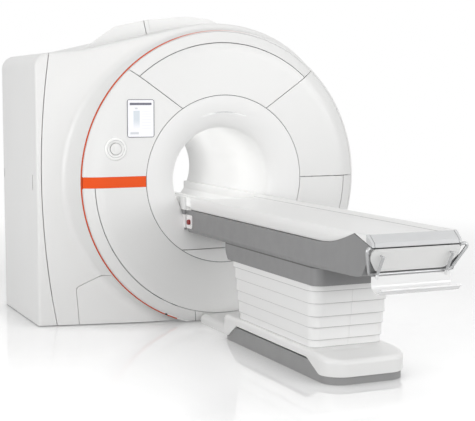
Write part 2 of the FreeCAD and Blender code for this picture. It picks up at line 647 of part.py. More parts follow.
def suspension_struts(inset, shield_wall):
    """Short struts at both ends, which hang the cold masses inside the vacuum vessel."""
    vessel_wall = 12.0
    struts = []
    for k in range(6):
        for near, far in ((vessel_wall, inset), (inset + shield_wall, 2 * inset)):
            for y in (VESSEL_FRONT_Y + near, VESSEL_REAR_Y - far):
                strut = Part.makeCylinder(15, far - near, Vector(688, y, ISO_Z), Vector(0, 1, 0))
                struts.append(strut.rotate(Vector(0, 0, ISO_Z), Vector(0, 1, 0), 60 * k + 30))
    return struts


def magnet():
    gap = 28.0
    shield_wall, helium_wall = 4.0, 10.0
    shield_in, shield_out = VESSEL_R_IN + gap, VESSEL_R_OUT - gap
    helium_in, helium_out = shield_in + gap, shield_out - gap
    inset = 40.0
    vessel = hollow_ring(VESSEL_R_IN, VESSEL_R_OUT, VESSEL_FRONT_Y, VESSEL_REAR_Y, 12)
    turret_base = Part.makeCylinder(110, 140, Vector(TURRET_X, TURRET_Y, ISO_Z + VESSEL_R_OUT - 60))
    turret_base = turret_base.cut(bore_disc(VESSEL_R_OUT - 6, 0, FAR))
    shield = hollow_ring(shield_in, shield_out, VESSEL_FRONT_Y + inset, VESSEL_REAR_Y - inset, shield_wall)
    struts = suspension_struts(inset, shield_wall)
    helium = hollow_ring(helium_in, helium_out, VESSEL_FRONT_Y + 2 * inset, VESSEL_REAR_Y - 2 * inset,
                         helium_wall)
    winding_r = helium_in + helium_wall
    middle_y = (VESSEL_FRONT_Y + VESSEL_REAR_Y) / 2
    windings = []
    for distance, width, depth in ((70, 60, 40), (215, 80, 50), (430, 120, 90)):
        for side in (-1, 1):
            y = middle_y + side * distance
            windings.append(bore_pipe(winding_r, winding_r + depth, y - width / 2, y + width / 2))
    former = bore_pipe(winding_r, winding_r + 12, middle_y - 500, middle_y + 500)
    turret_top = Vector(TURRET_X, TURRET_Y, ISO_Z + VESSEL_R_OUT + 80)
    cold_head = fused([Part.makeCylinder(70, 22, turret_top), Part.makeCylinder(45, 56, turret_top)])
    feet = []
    for x in (-480, 480):
        for y in (VESSEL_FRONT_Y + 160, VESSEL_REAR_Y - 270):
            foot = block((x - 110, x + 110), (y - 90, y + 90), (0, 300))
            feet.append(foot.cut(bore_disc(VESSEL_R_OUT, 0, FAR)))
    return {"vacuum_vessel": vessel.fuse(turret_base).removeSplitter(),
            "radiation_shield": fused([shield] + struts),
            "helium_vessel": helium, "main_windings": fused(windings + [former]),
            "cold_head": cold_head, "magnet_feet": Part.makeCompound(feet),
            "gradient_coil": bore_pipe(COIL_R, VESSEL_R_IN, 150, 1480),
            "rf_body_coil": bore_pipe(COIL_R - 14, COIL_R, 420, 1210)}


# ---------------------------------------------------------------- table: base and lift
def plinth_form(z_high):
    return rounded_slab(PLINTH_HALF_W, (PLINTH_FOOT_Y, PLINTH_HEAD_Y), (0, z_high), 30, [112, 112, 20, 20])


def base_well(z_low, z_high):
    """Space inside the base for the lift."""
    wall = 34.0
    return rounded_slab(PLINTH_HALF_W - wall, (PLINTH_FOOT_Y + 80, PLINTH_HEAD_Y - 20), (z_low, z_high), 20)


def base_plinth():
    """Grey plinth with a raised rim around the lift's floor."""
    return plinth_form(PLINTH_TOP_Z).cut(base_well(PLINTH_FLOOR_Z, FAR))


def base_cover():
    """Sleek cover over the plinth; its lower edge sweeps down to both ends."""
    plan = rounded_slab(BASE_HALF_W, (BASE_FOOT_Y, BASE_HEAD_Y), (0, 300), 60, [130, 130, 20, 20])
    side = face_of(side_view, [(BASE_HEAD_Y + 1, BASE_TOP_Z), (-1800, BASE_TOP_Z, 300), (-2000, 136, 20),
                               (-2000, 46), (-1862, 46, 90), (-1718, 115, 60), (-760, 115, 50),
                               (-640, 36, 30), (BASE_HEAD_Y + 1, 36)])
    body = plan.common(prism(side, -FAR, 2 * FAR, "x"))
    rim = [edge for edge in body.Edges if edge.BoundBox.ZMin > 125
           and edge.BoundBox.YMin < BASE_HEAD_Y - 5 and not on_flat_top(edge)]
    crown_r = 30.0
    body = body.makeFillet(crown_r, rim)
    ceiling_t = 14.0
    y = (SKIRT_FOOT_Y + SKIRT_HEAD_Y) / 2
    column_way = rounded_slab(134, (y - 134, y + 134), (60, 300), 22)
    return body.cut(plinth_form(PLINTH_TOP_Z)).cut(base_well(60, BASE_TOP_Z - ceiling_t)).cut(column_way)


def on_flat_top(edge):
    """True for an edge that crosses the cover from side to side."""
    box = edge.BoundBox
    return box.XMin < -100 and box.XMax > 100 and box.YLength < 1


def docking_base():
    """Low box that ties the table's base to the gantry."""
    half_w, edge_r = 184.0, 34.0
    box = block((-half_w, half_w), (BASE_HEAD_Y, 0), (0, DOCK_TOP_Z))
    edges = [edge for edge in box.Edges if edge.BoundBox.ZMin > DOCK_TOP_Z - 1 and edge.BoundBox.YMax > -1
             or edge.BoundBox.ZMin > DOCK_TOP_Z - 1 and edge.BoundBox.YLength > 100]
    tongue = block((-140, 140), (-10, 120), (0, FLOOR_GAP))
    return box.makeFillet(edge_r, edges).fuse(tongue).removeSplitter()


def skirt_outline(k):
    """Half width, depth range and corner rounding of ring k, counted from the lowest."""
    grow, lengthen = SKIRT_STEP * k, SKIRT_END_STEP * k
    return SKIRT_HALF_W + grow, (SKIRT_FOOT_Y - lengthen, SKIRT_HEAD_Y + lengthen), SKIRT_R + grow


def skirt_space(k, margin, z_low, z_high):
    """Upright slab with the outline of ring k, larger by a margin."""
    half_w, (foot_y, head_y), radius = skirt_outline(k)
    y_range = (foot_y - margin, head_y + margin)
    return rounded_slab(half_w + margin, y_range, (z_low, z_high), radius + margin)


def skirt_ring(k):
    """Telescoping skirt ring k with a bevelled lower edge; its top tucks into the ring above."""
    z_low, top = SKIRT_SEAMS_Z[k], SKIRT_SEAMS_Z[k + 1] + SKIRT_OVERLAP
    bevel = 1.6
    outer = skirt_space(k, 0, z_low, top)
    foot_edges = [edge for edge in outer.Edges if edge.BoundBox.ZMax < z_low + 0.1]
    outer = outer.makeChamfer(bevel, foot_edges)
    foot_y = skirt_outline(k)[1][0]
    joint_line = block((-1.2, 1.2), (foot_y - 1, foot_y + 1.6), (z_low, top))
    return outer.cut(skirt_space(k, -SKIRT_WALL, z_low - 1, top + 1)).cut(joint_line)


def lift_column():
    """Telescopic lifting column in three stages, standing on the plinth."""
    y = (SKIRT_FOOT_Y + SKIRT_HEAD_Y) / 2
    wall = 10.0

    def stage(half, z_low, z_high, hollow):
        tube = rounded_slab(half, (y - half, y + half), (z_low, z_high), 20)
        if hollow:
            inside = half - wall
            tube = tube.cut(rounded_slab(inside, (y - inside, y + inside), (0, FAR), 12))
        return tube

    return {"column_outer": stage(130, 70, 275, True), "column_middle": stage(118, 240, 440, True),
            "column_inner": stage(106, 405, TUB_TOP_Z - 14, False)}


def lift_motor():
    """Gear motor of the lift, lying on the plinth beside the column."""
    y = -1480.0
    gearbox = block((-60, 60), (y - 60, y + 60), (70, 142))
    motor = Part.makeCylinder(34, 240, Vector(0, y - 290, 106), Vector(0, 1, 0))
    foot = block((-25, 25), (y - 240, y - 140), (70, 90))
    return fused([gearbox, motor, foot])


# ---------------------------------------------------------------- table: top
def table_side_outline(inset):
    """Side view of the table body, swept up at the foot end."""
    return [(TABLE_HEAD_Y - inset, TABLETOP_Z - 2), (CURVE_Y, TABLETOP_Z - 2, CURVE_R),
            (CURVE_END_Y, CURVE_END_Z), (-2407 + inset, 810), (END_TOP_Y + inset, END_TOP_Z),
            (END_FOOT_Y + inset, END_FOOT_Z + inset, 12), (-2290, 644 + inset, 60),
            (-1760, TABLE_BOTTOM_Z + inset, 300), (TABLE_HEAD_Y - inset, TABLE_BOTTOM_Z + inset)]


def foot_taper(half_w, head_y, head_r):
    """Plan of tabletop and table body: parallel sides that draw in towards the foot end."""
    bend_y, end_y, bend_r = -2200.0, -2440.0, 400.0
    corners = [(-FOOT_HALF_W, end_y), (FOOT_HALF_W, end_y), (half_w, bend_y, bend_r),
               (half_w, head_y, head_r), (-half_w, head_y, head_r), (-half_w, bend_y, bend_r)]
    return prism(face_of(plan_view, corners), 0, FAR, "z")


def table_body():
    """Long trough under the tabletop."""
    outer = prism(face_of(side_view, table_side_outline(0)), -TABLE_HALF_W, 2 * TABLE_HALF_W, "x")
    belly_x, side_foot_z = TABLE_HALF_W - 16, 650
    section = region([(-TABLE_HALF_W, 900), (-TABLE_HALF_W, side_foot_z), (-belly_x, 622, 14),
                      (belly_x, 622, 14), (TABLE_HALF_W, side_foot_z), (TABLE_HALF_W, 900)])
    outer = outer.common(section).common(foot_taper(TABLE_HALF_W, 100, 0))
    inner_half = TABLETOP_CORE_HALF_W + 3
    trough = block((-inner_half, inner_half), (-2290, TABLE_HEAD_Y - TABLE_WALL), (TABLE_BOTTOM_Z + 24, FAR))
    cap_way = block((-inner_half, inner_half), (-2500, -2200), (CAP_FOOT_Z - 8, FAR))
    well_start = Vector(-TABLE_HALF_W, ESTOP_Y, ESTOP_Z)
    stem_well = Part.makeCylinder(ESTOP_STEM_R + 0.5, 2 * TABLE_HALF_W, well_start, Vector(1, 0, 0))
    stem_well = stem_well.cut(block((-TABLE_HALF_W + 16, TABLE_HALF_W - 16), (-FAR, FAR), (0, FAR)))
    return fused([outer.cut(trough).cut(cap_way).cut(stem_well)] + end_cheeks(inner_half))


def cap_outline(head_y, low_z):
    """Side view of the bevelled end that the tabletop's cap and the body's cheeks share."""
    return [(head_y, TABLE_TOP_Z), (TABLETOP_FOOT_Y, TABLE_TOP_Z), (CAP_BEVEL_Y, CAP_BEVEL_Z, 6),
            (CAP_FOOT_Y, CAP_FOOT_Z, 4), (-2407, low_z), (head_y, low_z)]


def end_cheeks(inner_half):
    """Ends of the body's side walls, which carry the tabletop's outline on to the foot end."""
    head_y = CURVE_END_Y - 1.5
    cheek = prism(face_of(side_view, cap_outline(head_y, CAP_FOOT_Z)), inner_half, 60, "x")
    cheek = cheek.common(board_section()).common(foot_taper(TABLETOP_HALF_W, TABLETOP_HEAD_Y, 60))
    return [cheek, mirrored(cheek)]


def board_section():
    """Upright section of the tabletop: side rails and the shallow bed between them."""
    w, top, bed = TABLETOP_HALF_W, TABLE_TOP_Z, TABLE_TOP_Z - 22
    half = [(200, bed, 40), (232, top, 14), (w - 4, top, 10), (w, 836, 80), (w - 13, TABLETOP_Z, 8)]
    other_half = [(-x, z, radius) for x, z, radius in reversed(half)]
    return region(other_half + half, CAP_FOOT_Y - 10, TABLETOP_HEAD_Y - CAP_FOOT_Y + 10)


def slide_rails():
    """Two low-friction rails inside the trough, which the tabletop rides on."""
    rails = []
    y_range = (-2280, TABLE_HEAD_Y - TABLE_WALL - 4)
    for x in (-165, 165):
        rails.append(block((x - 22, x + 22), y_range, (TABLE_BOTTOM_Z + 24, TABLETOP_Z)))
    return Part.makeCompound(rails)


def tabletop():
    """Long board with raised side rails and a shallow bed between them."""
    length = block((-FAR, FAR), (TABLETOP_FOOT_Y, TABLETOP_HEAD_Y), (0, FAR))
    board = board_section().common(length).common(foot_taper(TABLETOP_HALF_W, TABLETOP_HEAD_Y, 60))
    foot_relief = block((-FAR, FAR), (-FAR, -2284), (0, CAP_FOOT_Z))
    return board.cut(over_body_walls()).cut(foot_relief)


def over_body_walls():
    """Space of the body's side walls, their sweep and the cheeks at the foot end, with a little air."""
    air = 2.0
    curve = [(200, TABLETOP_Z - 40), (200, TABLETOP_Z), (CURVE_Y, TABLETOP_Z, CURVE_R),
             (CURVE_END_Y, CURVE_END_Z + air), (CURVE_END_Y, TABLE_TOP_Z + 10), (-2440, TABLE_TOP_Z + 10),
             (-2440, TABLETOP_Z - 40)]
    wall = prism(face_of(side_view, curve), TABLETOP_CORE_HALF_W, FAR, "x")
    return wall.fuse(mirrored(wall))


def tabletop_end_cap():
    """Bevelled end of the tabletop, over the finger slot."""
    profile = [(TABLETOP_FOOT_Y, TABLE_TOP_Z - 1), (CAP_BEVEL_Y, CAP_BEVEL_Z, 6), (CAP_FOOT_Y, CAP_FOOT_Z, 4),
               (TABLETOP_FOOT_Y, CAP_FOOT_Z)]
    return prism(face_of(side_view, profile), -TABLETOP_CORE_HALF_W, 2 * TABLETOP_CORE_HALF_W, "x")


def table_tub():
    """Hollow tub that caps the skirt and carries the table body; its head end leans."""
    wall, lid_t, flange_t, corner_r = 5.0, 14.0, 8.0, 60.0
    y_range = (TUB_FOOT_Y, TUB_HEAD_Y)
    slab = rounded_slab(TUB_HALF_W, y_range, (TUB_FOOT_Z, TUB_TOP_Z), corner_r)
    side = face_of(side_view, [(TUB_FOOT_Y - 1, TUB_FOOT_Z), (TUB_HEAD_Y - TUB_HEAD_LEAN, TUB_FOOT_Z),
                               (TUB_HEAD_Y, TUB_TOP_Z), (TUB_FOOT_Y - 1, TUB_TOP_Z)])
    inside = rounded_slab(TUB_HALF_W - wall, (TUB_FOOT_Y + wall, TUB_HEAD_Y - TUB_HEAD_LEAN - wall),
                          (TUB_FOOT_Z + flange_t, TUB_TOP_Z - lid_t), corner_r - wall)
    opening = skirt_space(5, -SKIRT_WALL, 0, TUB_FOOT_Z + flange_t + 1)
    return slab.common(prism(side, -FAR, 2 * FAR, "x")).cut(inside).cut(opening)


def skirt_collar():
    """White collar under the tub, the last ring of the skirt."""
    collar = skirt_space(5, 5, SKIRT_SEAMS_Z[5], TUB_FOOT_Z)
    return collar.cut(skirt_space(5, -SKIRT_WALL, 0, FAR))


PANEL_T = 8.0             # end panel
END_TILT = math.atan2(END_FOOT_Y - END_TOP_Y, END_TOP_Z - END_FOOT_Z)


def end_plane(x, drop, proud):
    """Point on the leaning end face: across, down along the face, and proud of it."""
    return Vector(x, END_TOP_Y + drop * math.sin(END_TILT) - proud * math.cos(END_TILT),
                  END_TOP_Z - drop * math.cos(END_TILT) - proud * math.sin(END_TILT))


def end_panel():
    """Pale panel that closes the foot end under the slot."""
    corners = [(-263, 1, 22), (-261, 60, 60), (-205, 140, 45), (205, 140, 45), (261, 60, 60), (263, 1, 22)]
    face = face_of(lambda x, drop: end_plane(x, drop, 0), corners)
    normal = end_plane(0, 0, 1) - end_plane(0, 0, 0)
    return face.extrude(normal * PANEL_T)


def loop_handle(body):
    """Bent tube: out of one side of the foot end, down past the panel, and across under it."""
    tube_r = 9.0
    side = [Vector(255, -2406, 794), Vector(306, -2440, 813), end_plane(240, 154, 12)]
    corners = side + [Vector(-p.x, p.y, p.z) for p in reversed(side)]
    turn_r = {1: 14.0, 2: 34.0, 3: 34.0, 4: 14.0}
    edges = []
    at = corners[0]
    for i in range(1, len(corners) - 1):
        before = (corners[i - 1] - corners[i]).normalize()
        after = (corners[i + 1] - corners[i]).normalize()
        half_angle = before.getAngle(after) / 2
        reach = turn_r[i] / math.tan(half_angle)
        start, end = corners[i] + before * reach, corners[i] + after * reach
        middle = corners[i] + (before + after).normalize() * (turn_r[i] / math.sin(half_angle) - turn_r[i])
        edges.append(Part.makeLine(at, start))
        edges.append(Part.Arc(start, middle, end).toShape())
        at = end
    edges.append(Part.makeLine(at, corners[-1]))
    path = Part.Wire(edges)
    ring = Part.Wire(Part.makeCircle(tube_r, corners[0], corners[1] - corners[0]))
    return largest(path.makePipeShell([ring], True, False).cut(body))


def foot_tray():
    """Clear J-shaped tray under the foot end, with a rolled lip and two hanger rods on the end panel."""
    t, half_w, rod_r, rod_proud = 4.0, 235.0, 8.0, 31.0
    back_y, lip_y, lip_z, floor_z = -2366.0, -2462.0, 594.0, 569.0
    outline = [(back_y, 652), (back_y, 596, 34), (-2398, floor_z, 30), (-2446, floor_z, 18), (lip_y, lip_z),
               (lip_y + t, lip_z + 2), (-2446 + t / 2, floor_z + t, 14), (-2398, floor_z + t, 26),
               (back_y - t, 596, 30), (back_y - t, 652)]
    tray = prism(face_of(side_view, outline), -half_w, 2 * half_w, "x")
    lip = Part.makeCylinder(rod_r - 1, 2 * half_w, Vector(-half_w, lip_y + 1, lip_z), Vector(1, 0, 0))
    pieces = [tray, lip]
    for x in (-205, 205):
        top, foot = end_plane(x, 30, rod_proud), end_plane(x, 168, rod_proud)
        pieces.append(Part.makeCylinder(rod_r, (foot - top).Length, top, foot - top))
        pieces.append(Part.makeSphere(rod_r, top))
        pin = end_plane(x, 36, PANEL_T)
        pieces.append(Part.makeCylinder(5, rod_proud - PANEL_T, pin, end_plane(x, 36, rod_proud) - pin))
    return fused(pieces)


def emergency_stop(side):
    """Rounded plate with a guarded push button, on the side of the table body near the bore."""
    y, z = ESTOP_Y, ESTOP_Z
    at_side = Vector(TABLE_HALF_W, y, z)

    def disc(radius, start, end):
        return Part.makeCylinder(radius, end - start, at_side + Vector(start, 0, 0), Vector(1, 0, 0))

    half_w, half_h, round_r = 44.0, 45.0, 12.0
    foot_y, head_y = ESTOP_PLATE_Y - half_w, ESTOP_PLATE_Y + half_w
    corners = [(foot_y, z - half_h, round_r), (head_y, z - half_h, round_r),
               (head_y, z + half_h, round_r), (foot_y, z + half_h, round_r)]
    plate_t, guard_t = 5.0, 9.0
    plate = prism(face_of(side_view, corners), TABLE_HALF_W, plate_t, "x")
    plate = plate.fuse(disc(ESTOP_R + 5, 0, guard_t)).cut(disc(ESTOP_R + 1, -1, 20)).removeSplitter()
    head_t = 27.0
    head = disc(ESTOP_R, 5, head_t)
    crown = [edge for edge in head.Edges if abs(edge.CenterOfMass.x - (TABLE_HALF_W + head_t)) < 0.1
             and edge.BoundBox.XLength < 0.1]
    button = head.makeFillet(9, crown).fuse(disc(ESTOP_STEM_R, -8, 5)).removeSplitter()
    if side < 0:
        return mirrored(plate), mirrored(button)
    return plate, button


# ---------------------------------------------------------------- assembly
def build():
    nodes = {}
    nodes.update(face_panels())
    nodes["accent_ring"] = accent_ring()
    nodes.update(display())
    nodes.update(dial())
    nodes.update(funnels())
    nodes["bore_bridge"] = bore_bridge()
    covers, body = body_covers()
    nodes.update(covers)
    nodes.update(dome_covers(body))
    nodes["rear_cover"] = rear_cover()
    nodes["front_frame"] = front_frame()
    nodes.update(magnet())
    nodes["base_plinth"] = base_plinth()
    nodes["base_cover"] = base_cover()
    nodes["docking_base"] = docking_base()
    for k in range(5):
        nodes["skirt_%d" % (k + 1)] = skirt_ring(k)
    nodes.update(lift_column())
    nodes["lift_motor"] = lift_motor()
    nodes["table_tub"] = table_tub()
    nodes["skirt_collar"] = skirt_collar()
    nodes["table_body"] = table_body()
    nodes["slide_rails"] = slide_rails()
    nodes["tabletop"] = tabletop()
    nodes["tabletop_end_cap"] = tabletop_end_cap()
    nodes["end_panel"] = end_panel()
    nodes["loop_handle"] = loop_handle(nodes["table_body"])
    nodes["foot_tray"] = foot_tray()
    left_plate, left_button = emergency_stop(-1)
    right_plate, right_button = emergency_stop(1)
    nodes["estop_plates"] = Part.makeCompound([left_plate, right_plate])
    nodes["estop_button_left"] = left_button
    nodes["estop_button_right"] = right_button
    return nodes


os.makedirs("parts", exist_ok=True)
for node, shape in build().items():
    shape.exportStep("parts/%s.step" % node)
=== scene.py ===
"""Dresses the scanner: finishes for every cover and mechanism, the display's picture, and the stage."""
import math

import bmesh
import bpy
from bpy.props import FloatProperty, FloatVectorProperty, PointerProperty
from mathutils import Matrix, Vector


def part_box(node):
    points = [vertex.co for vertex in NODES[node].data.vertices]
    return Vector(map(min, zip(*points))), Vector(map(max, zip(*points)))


bl_info = {
    "name": "Scanner Dressing",
    "version": (1, 0, 0),
    "blender": (4, 5, 0),
    "location": "View3D > Sidebar > Scanner",
    "description": "Finishes, fittings and stage for the scanner frame",
    "category": "Object",
}

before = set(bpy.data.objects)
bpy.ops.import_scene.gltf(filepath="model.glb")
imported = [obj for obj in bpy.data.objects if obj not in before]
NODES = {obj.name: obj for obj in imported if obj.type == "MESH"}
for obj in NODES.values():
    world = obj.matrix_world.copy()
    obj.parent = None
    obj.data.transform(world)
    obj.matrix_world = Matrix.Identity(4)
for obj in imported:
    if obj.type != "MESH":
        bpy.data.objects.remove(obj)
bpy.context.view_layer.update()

ISO_Z = sum(corner[2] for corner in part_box("bore_tube")) / 2
DIAL_CENTRE = [(low + high) / 2 for low, high in zip(*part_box("dial_ring"))]
DIAL_SHADE_WIDTH = 0.0035                           # width of the painted shade line around the dial's pieces

COVER_NODES = [
    "front_panel_top", "rim_cover_top", "front_panel_left", "front_panel_right", "front_panel_lower",
    "rim_cover_lower_right", "body_cover_front", "side_cover_left", "access_panel", "dome_cover_left",
    "dome_cover_right", "rear_cover", "docking_base"]
BORE_NODES = ["flare_front", "flare_lower_insert", "flare_rear", "bore_tube"]
SKIRT_NODES = ["skirt_1", "skirt_2", "skirt_3", "skirt_4", "skirt_5", "skirt_collar"]
STEEL_NODES = ["front_frame", "magnet_feet", "column_outer", "column_middle", "column_inner", "lift_motor"]

# the ring and the band, in metres and degrees up from the left
RING_PAINT_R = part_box("accent_ring")[1][0] - 0.0075   # the ring is painted outside this
RING_LOW_END = -70                                    # its colour starts here
RING_FADE = (55, 108)                                 # and runs out into white from here to there
BAND_LOW, BAND_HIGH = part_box("accent_band")
BAND_Z = (BAND_LOW[2] + BAND_HIGH[2]) / 2
BAND_HALF = (BAND_HIGH[2] - BAND_LOW[2]) / 2
DARK_DOT_X, DARK_DOT_Z, DARK_DOT_R = -0.4235, 0.066, 0.009   # small dark dot painted low on the ring
TOE_SEAM_X, TOE_SEAM_TOP = -0.2226, 0.079     # seam between the lower rim and the toe
TOE_SEAM_LEAN = 0.2                           # it leans inwards by this on the way down
TOE_SEAM_HALF = 0.0022                        # half of its width

# the table
BOARD_FOOT_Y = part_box("tabletop")[0][1]      # the tabletop's cap starts here
SWEEP_Y, SWEEP_Z = -2.2685, 0.862            # the table body's sweep ends here
SWEEP_SLOPE = 0.3741                         # from there its edge falls towards the foot end
SWEEP_LINE_HALF = 0.0016                     # half of the shadow line along that edge
BRIDGE_CHEEK_X = 0.2835                      # the bridge's cheeks lie outside this
BRIDGE_CHEEK_Y = 0.16                        # and in front of this
CHEEK_GREY_TOP = 0.779                       # they are grey below this
CHEEK_PLATE = (0.657, 0.747)                 # and show the stop plate between these heights
GUTTER_X, GUTTER_HALF, GUTTER_LOW = 0.212, 0.0016, 0.83   # fine line along the tabletop's rails
TRAY_RODS_Z = 0.662                          # the foot tray's rods show above this
SKIRT_GAP_HALF, SKIRT_GAP_RISE = 0.0017, 0.0015   # shadow line at each skirt ring's lower edge
TUB_GAP = 0.009                              # shadow gap at the tub's top
CROWN_DEPTH = 0.05                           # the painted highlight on the base cover's crown reaches this far down
PLINTH_HIGHLIGHT_Z = (0.010, 0.040)              # painted highlight, a paler strip around the plinth's foot end
PLINTH_HIGHLIGHT_Y = (-2.16, -2.02)              # it fades out between these

# the stage
SKY_HORIZON, SKY_ZENITH = 0.60, 0.40         # the studio's soft light from the sides and from above
SKY_CLIMB = 0.9                              # the sky reaches its zenith level at this height of view
FLOOR_GLOW, FLOOR_GLOW_AWAY = 0.24, 0.34     # what the floor adds to its own light, near and far
FLOOR_GLOW_FADE = (2.0, 4.5)                 # the first goes over into the second between these distances
FLOOR_WHITE_FADE = (4.0, 7.5)                # and both into plain white between these
FLOOR_GLOSS_REACH = 1.6                      # the floor's reflections fade out this far from the scanner
FLOOR_GLOSS = (0.34, 0.04)                   # their strength beside it and away from it
FLOOR_CONTACT = 0.35                         # reach of the contact shadow
FLOOR_SHADE = 0.45                           # how pale the floor is in it
FLOOR_BOUNCE = 0.52                          # what the floor gives back to the scanner
FLOOR_RECTANGLES = [tuple(corner[axis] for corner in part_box(node) for axis in (0, 1))
                    for node in ("body_cover_front", "side_cover_left", "base_plinth")]
LAMPS = [
    # setting, place, target, size
    ("key", (1.0, -2.0, 5.4), (0.0, -0.4, 0.6), (6.0, 6.0)),
    ("left", (-7.0, -3.0, 2.2), (-0.8, 0.0, 0.9), (5.0, 4.0)),
    ("right", (5.0, -7.0, 2.7), (0.2, -0.6, 0.8), (5.0, 3.0)),
    ("low", (-0.6, -7.5, 1.0), (0.0, -1.0, 0.5), (7.0, 1.6)),
    ("front", (-1.0, -8.0, 3.0), (0.0, -1.4, 0.5), (6.0, 3.0)),
]
TUNNEL_LIGHTS = [("tunnel_front", 0.47), ("tunnel_rear", 1.02)]   # name and depth in the bore
TUNNEL_RISE, TUNNEL_RADIUS = 0.05, 0.15      # above the bore axis, and how soft they are
CAMERA_PLACE = (-3.248, -7.48, 1.566)
CAMERA_YAW, CAMERA_PITCH = 24.06, 5.63       # to the right of the bore's direction, and down, in degrees
CAMERA_LENS = 90.49                          # millimetres on a sensor 36 wide
WHITE = (1.0, 1.0, 1.0, 1.0)


# ------------------------------------------------------------------ shader arithmetic
class Signal:
    """A shader socket with Python's arithmetic; every operation adds its Math node."""

    def __init__(self, finish, socket):
        self.finish = finish
        self.socket = socket

    def math(self, operation, *values):
        inputs = dict(enumerate(values))
        return self.finish.node("ShaderNodeMath", {"operation": operation}, inputs)

    def __add__(self, other):
        return self.math("ADD", self, other)

    def __radd__(self, other):
        return self.math("ADD", other, self)

    def __sub__(self, other):
        return self.math("SUBTRACT", self, other)

    def __rsub__(self, other):
        return self.math("SUBTRACT", other, self)

    def __mul__(self, other):
        return self.math("MULTIPLY", self, other)

    def __rmul__(self, other):
        return self.math("MULTIPLY", other, self)

    def __truediv__(self, other):
        return self.math("DIVIDE", self, other)

    def __abs__(self):
        return self.math("ABSOLUTE", self)

    def above(self, limit):
        return self.math("GREATER_THAN", self, limit)

    def below(self, limit):
        return self.math("LESS_THAN", self, limit)

    def power(self, exponent):
        return self.math("POWER", self, exponent)

    def ramp(self, low, high, start=0.0, end=1.0):
        """Smooth step from start to end while the signal goes from low to high."""
        inputs = {"Value": self, "From Min": low, "From Max": high, "To Min": start, "To Max": end}
        return self.finish.node("ShaderNodeMapRange", {"interpolation_type": "SMOOTHSTEP"}, inputs)


class Finish:
    """One material and the nodes that shade it."""

    def __init__(self, name, base, roughness, metallic=0.0, coat=0.0, coat_roughness=0.1):
        self.material = bpy.data.materials.new(name)
        self.material.use_nodes = True
        self.tree = self.material.node_tree
        self.shader = self.tree.nodes["Principled BSDF"]
        self.set("Base Color", (*base, 1.0))
        self.set("Roughness", roughness)
        self.set("Metallic", metallic)
        self.set("Coat Weight", coat)
        self.set("Coat Roughness", coat_roughness)
        self.material.diffuse_color = (*base, 1.0)

    def node(self, kind, settings=None, inputs=None, output=0):
        """Adds a node: its settings first, then the values or links of its sockets."""
        node = self.tree.nodes.new(kind)
        for key, value in (settings or {}).items():
            setattr(node, key, value)
        for key, value in (inputs or {}).items():
            self.feed(node.inputs[key], value)
        return Signal(self, node.outputs[output])

    def feed(self, socket, value):
        if isinstance(value, Signal):
            self.tree.links.new(value.socket, socket)
        else:
            socket.default_value = value

    def set(self, name, value):
        self.feed(self.shader.inputs[name], value)

    def place(self):
        """Position on the piece, in metres."""
        return self.node("ShaderNodeTexCoord", output="Object")

    def axes(self):
        """The position's three numbers, as signals."""
        split = self.node("ShaderNodeSeparateXYZ", inputs={"Vector": self.place()})
        outputs = split.socket.node.outputs
        return [Signal(self, outputs[axis]) for axis in "XYZ"]

    def stretched(self, scale):
        """Position with each axis scaled by its own number."""
        return self.node("ShaderNodeVectorMath", {"operation": "MULTIPLY"}, {0: self.place(), 1: scale})

    def noise(self, scale, detail=2.0, roughness=0.5, vector=None):
        inputs = {"Scale": scale, "Detail": detail, "Roughness": roughness,
                  "Vector": vector if vector is not None else self.place()}
        return self.node("ShaderNodeTexNoise", inputs=inputs, output="Fac")

    def blend(self, factor, first, second):
        """Colour from first to second as the factor goes from 0 to 1."""
        colours = {"A": first, "B": second}
        node = self.tree.nodes.new("ShaderNodeMix")
        node.data_type = "RGBA"
        self.feed(node.inputs["Factor"], factor)
        for socket in node.inputs:
            if socket.type == "RGBA":
                value = colours[socket.name]
                self.feed(socket, value if isinstance(value, Signal) else (*value, 1.0))
        result = [socket for socket in node.outputs if socket.type == "RGBA"][0]
        return Signal(self, result)

    def bump(self, height, strength, distance):
        self.set("Normal", self.node("ShaderNodeBump", inputs={
            "Height": height, "Strength": strength, "Distance": distance}, output="Normal"))

    def paint(self, colour):
        """Sets the base colour and keeps it for what is laid over it."""
        self.colour = colour
        self.set("Base Color", colour)

    def distance(self, centre_x, centre_z):
        """Distance from a line along Y, seen from the front."""
        x, _y, z = self.axes()
        across, up = x - centre_x, z - centre_z
        return (across * across + up * up).power(0.5)

    def overlay(self, mask, colour):
        """Lays another colour over the present one where the mask is 1."""
        self.paint(self.blend(mask, self.colour, colour))

    def wear(self, base, amount):
        """Base colour that drifts a little in broad soft patches."""
        darker = scaled(base, 1 - amount)
        lighter = tuple(min(1.0, channel * (1 + amount)) for channel in base)
        self.paint(self.blend(self.noise(2.3, 3.0), darker, lighter))

    def rounded_rim(self, corners, radius, width):
        """1 along the rounded outline of a flat piece seen from the front, else 0."""
        low, high = corners
        x, _y, z = self.axes()
        beside = abs(x - (low[0] + high[0]) / 2) - ((high[0] - low[0]) / 2 - radius)
        above = abs(z - (low[2] + high[2]) / 2) - ((high[2] - low[2]) / 2 - radius)
        reach = [side.math("MAXIMUM", side, 0.0).power(2.0) for side in (beside, above)]
        return (reach[0] + reach[1]).power(0.5).above(radius - width)

    def on(self, *names):
        for name in names:
            cover(NODES[name], self.material)


def scaled(base, factor):
    """A colour with each channel multiplied by the factor."""
    return tuple(channel * factor for channel in base)


def cover(piece, material):
    """Gives a piece one material all over."""
    if not piece.material_slots:
        piece.data.materials.append(material)
    for slot in piece.material_slots:
        slot.material = material


